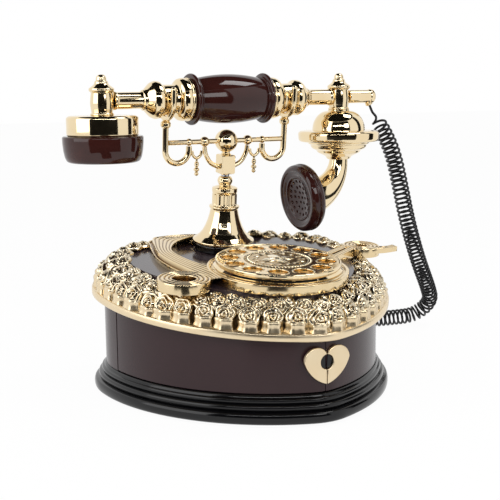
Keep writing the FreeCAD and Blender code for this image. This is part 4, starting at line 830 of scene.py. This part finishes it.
def half_turn(centre, radius, count, plane):
    """Points on the lower half of a circle in the XZ or YZ plane, both ends included."""
    t = np.linspace(np.pi, 2 * np.pi, count)
    flat, rise = radius * np.cos(t), radius * np.sin(t)
    zero = np.zeros(count)
    return np.array(centre) + np.stack([flat, zero, rise] if plane == "xz" else [zero, flat, rise], axis=1)


def ball(centre, radius, steps=20):
    """A small sphere: half a circle of points spun round."""
    t = np.linspace(0, np.pi, 12)
    return spun(np.column_stack([radius * np.sin(t), -radius * np.cos(t)]), steps) + centre


bend = half_turn((FORK_BEND_X, 0, FORK_BEND_RISE), FORK_BEND, 28, "xz")
fork_stem = np.vstack([[(FORK_BEND_X - FORK_BEND, 0, 116.2)], bend,
                       [(FORK_X, 0, rise) for rise in (122, 130, 138.6)]])
cup = half_turn((FORK_X, 0, NECK_RISE), FORK_CUP, 40, "yz")
fingers = np.vstack([[(FORK_X, -FORK_CUP, rise) for rise in (FORK_TIP, FORK_TIP - 4)], cup,
                     [(FORK_X, FORK_CUP, rise) for rise in (FORK_TIP - 4, FORK_TIP)]])
knop = soft([(0, 131.2), (2.9, 131.4), (4.2, 133), (4.2, 135.6), (2.9, 137.4), (0, 137.6)], cut=0.5)
fork = [tube(fork_stem, FORK_WIRE, sides=20), tube(fingers, FORK_WIRE, sides=20),
        spun(knop, steps=32) + (FORK_X, 0, 0),
        ball((FORK_X, -FORK_CUP, FORK_TIP), FORK_WIRE), ball((FORK_X, FORK_CUP, FORK_TIP), FORK_WIRE)]
stay_line = [(20, 0, 115), (18.6, 0, 108.5), (14, 0, 101.5), (6.4, 0, 97.6)]
stay = tube(through(stay_line, count=30), STAY_WIRE, sides=16)
festoon_line = [(22.3, 0, 112), (23.5, 0, 108.2), (DROP_X, 0, 106), (30.1, 0, 108.2), (31.3, 0, 112)]
festoon = tube(through(festoon_line, count=28), GARLAND_WIRE, sides=12)
drop_profile = soft([(0, 106.5), (1.1, 106.3), (0.9, 103.4), (1.9, 102.2), (1.9, 99.6), (0.9, 98.6),
                     (2.4, 97.2), (2.4, 95.8), (0.9, 94.6), (1.9, 93.6), (1.6, 92.0), (0, 90.9)], cut=0.5)
drop = spun(drop_profile, steps=20) + (DROP_X, 0, 0)
stays, garlands = [], []
for side_name, flip in SIDES:
    mirror = (flip, 1, 1)
    piece(f"fork_wire_{side_name}", [at_stand(shape * mirror) for shape in fork], gilt, "cradle",
          ["fork_" + side_name], fill=True)
    stays.append(at_stand(stay * mirror))
    garlands += [at_stand(festoon * mirror), at_stand(drop * mirror)]
piece("cradle_stay_wires", stays, gilt, "cradle", ["cradle_stays"], fill=True)
piece("garland_drops", garlands, gilt, "cradle", ["garlands"], fill=True)

# Handset grip: a barrel of dark brown gloss lacquer between two flanges, with polished gilt collars,
# knobs and tubes out to the two posts.
HANDSET_Y = STAND_Y * math.cos(TILT) - NECK_RISE * math.sin(TILT)
HANDSET_Z = RIM_HEIGHT + STAND_Y * math.sin(TILT) + NECK_RISE * math.cos(TILT)
POST_X = 109
BARREL_HALF, BARREL_END, BARREL_MIDDLE = 29.3, 16.8, 20
# Gloss lacquer over wood: a red brown with sharp reflections, in streaks about 56 mm long and 11 mm
# wide along the barrel.
brown_gloss = make_finish("lacquered_grip_brown", ["#260f0d", "#3c1d19"], grain=(55.6, 11.1, 11.1), detail=4,
                          rough=0.06, IOR=1.45)


def at_handset(points, x=0):
    """From the handset's own frame, or one on its axis at an x, to the phone's."""
    return np.asarray(points, float) + (x, HANDSET_Y, HANDSET_Z)


swell_x = np.linspace(-BARREL_HALF, BARREL_HALF, 40)
swell_r = BARREL_END + (BARREL_MIDDLE - BARREL_END) * (1 - (swell_x / BARREL_HALF) ** 2)
flange = [(BARREL_END, 29.4), (18.2, 29.6), (18.6, 30.4), (18.2, 31.2), (19.9, 31.5), (20.7, 32.4),
          (20.7, 33.8), (20.0, 34.8), (0, 35)]
barrel_profile = np.vstack([soft(flange[::-1], cut=0.5) * (1, -1), np.column_stack([swell_r, swell_x]),
                            soft(flange, 0.5)])
piece("grip_barrel_lacquer", [at_handset(spun(barrel_profile, steps=128, along_x=True))], brown_gloss,
      "handset", ["grip_barrel"])
arm_profile = soft([
    (0, 35), (16, 35), (17.4, 36), (17.4, 37.6), (16.4, 38.2), (17, 39), (17.2, 42), (16.4, 44.8),
    (14.4, 46.4), (12.4, 47.2), (12, 49), (12, 59.4), (13, 60.4), (14.8, 62.2), (15, 65.4), (13.6, 68.6),
    (10.2, 72), (8.2, 74), (8.2, 75.4), (6.8, 76.6), (6.6, 78), (6.6, 97.4), (7.2, 98), (7.2, 99.8),
    (0, 99.8)], cut=0.7)
post_profile = soft([
    (0, -11), (9.2, -11), (9.2, -9.6), (8.2, -9.2), (8.7, -6), (9.15, -1.5), (8.7, 3), (8.2, 6.4), (9.2, 7),
    (9.9, 8), (9.9, 9.6), (8.2, 10.8), (6.2, 12.2), (5.3, 13.6), (5.3, 14.8), (4, 15.7), (4.1, 17),
    (3.7, 18.6), (2.2, 20), (0, 20.4)], cut=0.6)
for side_name, flip in SIDES:
    arm = spun(arm_profile, steps=96, along_x=True) * (flip, 1, 1)
    piece(f"grip_arm_gilt_{side_name}", [at_handset(arm)], gilt, "handset", ["grip_arm_" + side_name])
    piece(f"post_gilt_{side_name}", [at_handset(spun(post_profile, steps=72), flip * POST_X)], gilt,
          "handset", ["post_" + side_name])

# Receiver: a polished gilt drum under the left post, with a brown lacquered ear cap screwed on below
# it. Both are turned.
drum_profile = soft([(0, -11), (25.8, -11), (28, -12.6), (28, -25.2), (27.4, -26.6), (0, -26.6)], cut=1.0)
piece("receiver_drum_gilt", [at_handset(spun(drum_profile, steps=128), -POST_X)], gilt, "handset",
      ["receiver_drum"])
ear_profile = soft([(0, -26.6), (30.6, -26.6), (31.5, -27.6), (31.4, -32), (30.8, -38), (29.8, -43),
                    (28.4, -46), (26, -47.2), (24, -46.8), (14, -45.2), (0, -44.4)], cut=1.0)
piece("receiver_ear_cap", [at_handset(spun(ear_profile, steps=128), -POST_X)], brown_gloss,
      "handset", ["receiver_cap"])

# Transmitter: a gilt dome, a broad disc, a stepped cone and a curved horn, with a brown lacquered mouth
# cap whose dished face is pierced.
DOME_TOP, DOME_NECK, DOME_SWELL, DOME_FALL = -12, 9.6, 13.4, 16.4
HORN_TOP, HORN_BEND, HORN_STEPS = -54, 31, 40
HORN_NECK, HORN_FLARE = 8, 9
MOUTH_NOD = math.radians(7)
FACE_RADIUS, FACE_LOW, FACE_RISE = 22, 10.2, 5.2
RIDGE_RADIUS, RIDGE_HIGH, RIDGE_HALF = 18.4, 0.8, 0.8
HOLE_ROWS, HOLE_STEP, HOLE_DEEP, HOLE_EDGE, HOLE_SLOPE = (1, 6, 12, 18), 4.9, 2.2, 1.9, 0.62
dome_turn = np.linspace(0, math.pi / 2, 16)
dome_side = np.column_stack([DOME_NECK + DOME_SWELL * np.sin(dome_turn),
                             DOME_TOP - DOME_FALL * (1 - np.cos(dome_turn))])
dome_profile = np.vstack([[(0, -11), (9.2, -11), (DOME_NECK, DOME_TOP)], dome_side, [(0, -28.4)]])
disc_profile = soft([(0, -28.4), (26, -28.4), (33.6, -29.2), (35.3, -30.6), (35.5, -32), (35.2, -36.4),
                     (34.2, -38.2), (31, -38.8), (0, -38.8)], cut=0.9)
cone_profile = soft([(0, -38.8), (27, -38.8), (26.8, -40.2), (24.8, -41.2), (24.2, -43.2), (22.8, -44.8),
                     (19.8, -46), (18.2, -48.2), (14, -50.2), (11.6, -51.4), (10.6, -52.8), (9.8, -54),
                     (0, -54)], cut=0.7)
for node, profile in (("transmitter_dome", dome_profile), ("transmitter_disc", disc_profile),
                      ("transmitter_cone", cone_profile)):
    piece(node + "_gilt", [at_handset(spun(profile, steps=128), POST_X)], gilt, "handset", [node])
horn_share = np.linspace(0, 1, HORN_STEPS)
horn_turn = (math.pi / 2 - MOUTH_NOD) * horn_share
horn_line = np.stack([POST_X - HORN_BEND + HORN_BEND * np.cos(horn_turn), np.zeros(HORN_STEPS),
                      HORN_TOP - HORN_BEND * np.sin(horn_turn)], axis=1)
horn = tube(horn_line, HORN_NECK + HORN_FLARE * horn_share ** 1.5, sides=64)
piece("transmitter_horn_gilt", [at_handset(horn)], gilt, "handset", ["transmitter_horn"], fill=True)


def pierced_face(steps):
    """The mouth cap's face from its edge to its middle: a bowl that is a parabola, with a round ridge near
    the edge and rings of small pits, each a cone cut off flat at its bottom."""
    reach = np.linspace(FACE_RADIUS, 0, 60)[:, None]
    turn = np.linspace(0, 2 * np.pi, steps, endpoint=False)[None]
    x, y = reach * np.cos(turn), reach * np.sin(turn)
    ridge = RIDGE_HIGH * np.exp(-(((reach - RIDGE_RADIUS) / RIDGE_HALF) ** 2))
    dish = FACE_LOW + FACE_RISE * (reach / FACE_RADIUS) ** 2 + ridge + 0 * turn
    for row, count in enumerate(HOLE_ROWS):
        for k in range(count):
            t = 2 * math.pi * (k + 0.5 * (row % 2)) / count
            away = np.hypot(x - HOLE_STEP * row * math.cos(t), y - HOLE_STEP * row * math.sin(t))
            dish = dish - HOLE_DEEP * np.clip(HOLE_EDGE - away / HOLE_SLOPE, 0, 1)
    return np.stack([x, y, dish], axis=-1)


mouth_back = soft([(0, 0), (18, 0), (22.4, 1.4), (24.6, 3), (27.6, 3.8), (29.2, 6.4), (29.5, 8.6),
                   (28.6, 9.2), (28.6, 10), (29.4, 10.6), (28.8, 14.4), (26.8, 16.5), (24.6, 16.6),
                   (23.4, 15.6), (FACE_RADIUS, 15.4)], cut=0.6)
nod_sin, nod_cos = math.sin(MOUTH_NOD), math.cos(MOUTH_NOD)
facing = np.array([[-nod_sin, 0, nod_cos], [0, 1, 0], [-nod_cos, 0, -nod_sin]])
mouth_cap = np.concatenate([spun(mouth_back, steps=128), pierced_face(steps=128)[1:]], axis=0)
mouth_cap = at_handset(mouth_cap @ facing + horn_line[-1])
piece("mouth_cap_lacquer", [mouth_cap], brown_gloss, "handset", ["mouth_cap"])

# Tail of the handset: a short gilt tube beyond the right post, pushed on, with the cord's socket
# leaning out under its end.
SOCKET_X, SOCKET_LEAN = 138, math.radians(25)
tail_profile = soft([(0, 118.2), (5.7, 118.2), (5.7, 139.8), (6.2, 140.4), (6.2, 143.6), (5, 145),
                     (0, 145)], cut=0.6)
socket_profile = soft([(0, -3), (3.2, -3), (3.2, -7.9), (2.6, -8.2), (0, -8.2)], cut=0.3)
lean_sin, lean_cos = math.sin(SOCKET_LEAN), math.cos(SOCKET_LEAN)
leaning = np.array([[lean_cos, 0, lean_sin], [0, 1, 0], [-lean_sin, 0, lean_cos]])
tail = spun(tail_profile, steps=64, along_x=True)
socket = spun(socket_profile, steps=32) @ leaning
piece("tail_tube_gilt", [at_handset(tail), at_handset(socket, SOCKET_X)], gilt, "handset",
      ["tail_tube"])

# Small fittings and what is inside the base: rubber feet, black plastic gland and switch, the drawers'
# trays and the circuit board. Their solids are shown.
GRAIN_DETAIL, GRAIN_STRENGTH, GRAIN_DEPTH = 3, 0.15, 0.3
# Two close tones and a slight bump give each a moulded grain, drawn 2 to 5 mm wide so that it shows: matt
# rubber, sheeny nylon, the green weave of the laminate, and the trays' dull brown plastic.
for name, tones, grain, rough, nodes in (
        ("rubber_black", ["#151515", "#222222"], 2, 0.8, ["rubber_feet"]),
        ("nylon_black", ["#131314", "#1e1e20"], 2.5, 0.45, ["cord_gland", "hook_switch", "ringer"]),
        ("glass_laminate_green", ["#1d4a2a", "#2a6039"], 3.33, 0.5, ["circuit_board"]),
        ("moulded_tray_brown", ["#2b2223", "#372b2c"], 5, 0.55,
         ["spine_wall", "drawer_tray_left", "drawer_tray_right"])):
    fitting = make_finish(name, tones, grain, GRAIN_DETAIL, rough,
                          bump=(grain, GRAIN_DETAIL, GRAIN_STRENGTH, GRAIN_DEPTH))
    for node in nodes:
        finish_node(node, fitting)

# Drawer linings: a sheet of wine red wool felt, cut to the floor of each tray and laid in it, its nap a
# little uneven and its edges soft.
FELT_LOW, FELT_THICK = 25.6, 1.0
FELT_INSET, FELT_SEAM, FELT_BACK = 17.9, 3.3, 5.3
FELT_EDGE = np.array([(0, 0.1), (0, 0.55), (0.15, 0.85), (0.6, 0.97)])
FELT_START, FELT_FLAT_FROM = 1.5, 0.7
FELT_ROWS, FELT_COLUMNS = 70, 40
# The nap's mean height and unevenness in thicknesses, and its two waves in radians per millimetre of x and y.
NAP_LEVEL, NAP_UNEVEN, NAP_WAVES = 0.95, 0.04, ((0.8, 0.5), (-0.4, 0.9))
felt_plan = heart(FELT_INSET)
felt_plan = felt_plan[(felt_plan[:, 0] > 0) & (felt_plan[:, 1] < WIDEST_Y)]
felt_tip = np.interp(FELT_SEAM + FELT_START, felt_plan[:, 0], felt_plan[:, 1])
felt_y = felt_tip + (FELT_BACK - felt_tip) * np.linspace(0, 1, FELT_ROWS) ** 1.5
felt_side = np.interp(felt_y, felt_plan[:, 1], felt_plan[:, 0])


def felt_sheet():
    """The right tray's felt: at each y a line from the seam to the heart's outline, with rounded edges and
    a nap whose height is the product of two slanting waves."""
    share = np.linspace(0, 1, FELT_COLUMNS)
    start = np.full((FELT_ROWS, 1), FELT_SEAM)
    stop = felt_side[:, None]
    edge_x, edge_rise = FELT_EDGE.T
    flat = start + FELT_FLAT_FROM + (stop - start - 2 * FELT_FLAT_FROM) * share
    x = np.hstack([start + edge_x, flat, stop - edge_x[::-1]])
    y = np.broadcast_to(felt_y[:, None], x.shape)
    one, two = [np.sin(by_x * x + by_y * y) for by_x, by_y in NAP_WAVES]
    nap = NAP_LEVEL + NAP_UNEVEN * one * two
    nap[:, :len(edge_rise)] = edge_rise
    nap[:, -len(edge_rise):] = edge_rise[::-1]
    return np.stack([x, y, FELT_LOW + FELT_THICK * nap], axis=-1)


# Wool felt: a matt wine red with a pale bloom at the edges of sight. Its fibres are drawn as tufts about
# 1.1 mm wide, since single ones would not show.
felt = make_finish("wool_felt_wine", ["#5a1620", "#7a2430"], grain=1.11, detail=GRAIN_DETAIL, rough=0.95,
                   bump=(1.11, GRAIN_DETAIL, GRAIN_STRENGTH, GRAIN_DEPTH), Sheen_Weight=0.4)
right_felt = felt_sheet()
for side_name, flip in SIDES:
    lining = piece("drawer_felt_" + side_name, [(right_felt * (flip, 1, 1), False, False)], felt,
                   "drawer_" + side_name, ["drawer_lining_" + side_name], crease=80)

# Studio: a pale floor under a white sky, broad soft lamps, and black flags that only the polished
# pieces see.
FLOOR_HALF, FLOOR_LOW, FLOOR_GLOW = 6e3, -0.2, 0.96
SKY_DIM = 0.5
LAMP_AIM, STRIP_AIM = (0, 0, 0.15), (0, 0, 0.05)


def seen_white(tree):
    """One where a ray comes from the camera, a mirror or a glass, otherwise nought."""
    rays = add(tree, "ShaderNodeLightPath")
    seen = add(tree, "ShaderNodeMath", {0: rays.outputs["Is Camera Ray"], 1: rays.outputs["Is Glossy Ray"]},
               operation="ADD", use_clamp=True)
    return add(tree, "ShaderNodeMath", {0: seen.outputs[0], 1: rays.outputs["Is Transmission Ray"]},
               operation="ADD", use_clamp=True).outputs[0]


def stand_in_studio(name, grid, material):
    """A piece of the studio, which isn't part of the phone, from one open grid of points."""
    mesh = mesh_of(name, [(grid, False, False)])
    mesh.materials.append(material)
    made = bpy.data.objects.new(name, mesh)
    scene.collection.objects.link(made)
    return made


# White paper: matt white that takes the phone's shadow, lit from itself where the camera or a polished
# piece sees it.
floor_pale, tree, shader = start_material("white_paper_floor", "#ffffff", Roughness=0.9)
share = add(tree, "ShaderNodeMath", {0: seen_white(tree)}, operation="MULTIPLY")
share.inputs[1].default_value = FLOOR_GLOW
glow = add(tree, "ShaderNodeEmission", Color=(1, 1, 1, 1), Strength=1.0)
both = add(tree, "ShaderNodeMixShader", {0: share.outputs[0], 1: shader.outputs[0], 2: glow.outputs[0]})
tree.links.new(both.outputs[0], tree.nodes["Material Output"].inputs["Surface"])
floor_ends = (-FLOOR_HALF, FLOOR_HALF)
floor_grid = np.array([[(x, y, FLOOR_LOW) for x in floor_ends] for y in floor_ends])
floor = stand_in_studio("studio_floor", floor_grid, floor_pale)

world = bpy.data.worlds.new("white_studio")
world.use_nodes = True
scene.world = world
tree = world.node_tree
sky = tree.nodes["Background"]
sky.inputs["Color"].default_value = (1, 1, 1, 1)
level = add(tree, "ShaderNodeMapRange", {"Value": seen_white(tree)}, To_Min=SKY_DIM, To_Max=1.0)
tree.links.new(level.outputs["Result"], sky.inputs["Strength"])


def lamp(name, spot, aim, size, watts, share=1.0):
    """A soft lamp that faces a point: square, or a strip whose height is a share of its length."""
    light = bpy.data.lights.new(name, "AREA")
    light.shape = "RECTANGLE"
    light.size = size
    light.size_y = size * share
    light.energy = watts
    made = bpy.data.objects.new(name, light)
    scene.collection.objects.link(made)
    made.location = spot
    made.rotation_euler = (Vector(aim) - Vector(spot)).to_track_quat("-Z", "Y").to_euler()


lamp("soft_left", (-1.35, -0.1, 0.75), LAMP_AIM, size=1.4, watts=9.5)
lamp("soft_right", (0.16, -0.95, 0.6), LAMP_AIM, size=0.35, watts=1.6)
lamp("soft_top", (0.45, -0.12, 1.05), LAMP_AIM, size=0.34, watts=2.4)
lamp("strip_front", (-0.42, -0.8, 0.62), STRIP_AIM, size=1.0, watts=2.0, share=0.05)

# Flag cloth: a matt black that gives the gilt its dark bands.
flag_black = start_material("flag_cloth_black", "#080706", Roughness=1.0)[0]


def flag(name, profile, start, stop):
    """A black flag that only polished surfaces see: a profile of (reach, height) in millimetres swept
    round Z between two angles in degrees from the X axis."""
    turn = np.radians(np.linspace(start, stop, 20))[None]
    reach, height = np.array(profile, float).T[:, :, None]
    sweep = np.stack([reach * np.cos(turn), reach * np.sin(turn), height + 0 * turn], axis=-1)
    made = stand_in_studio(name, sweep, flag_black)
    made.visible_camera = False
    made.visible_diffuse = False
    made.visible_shadow = False


standing_flag = [(600, 0.8), (1100, 0.8), (1100, 1300)]
flag("flag_by_camera", standing_flag, start=204, stop=294)
flag("flag_on_floor", [(320, 0.8), (599, 0.8)], start=228, stop=256)
flag("flag_right", standing_flag, start=336, stop=354)
flag("flag_above", [(1100, 1320), (800, 1700), (5, 1900)], start=0, stop=360)
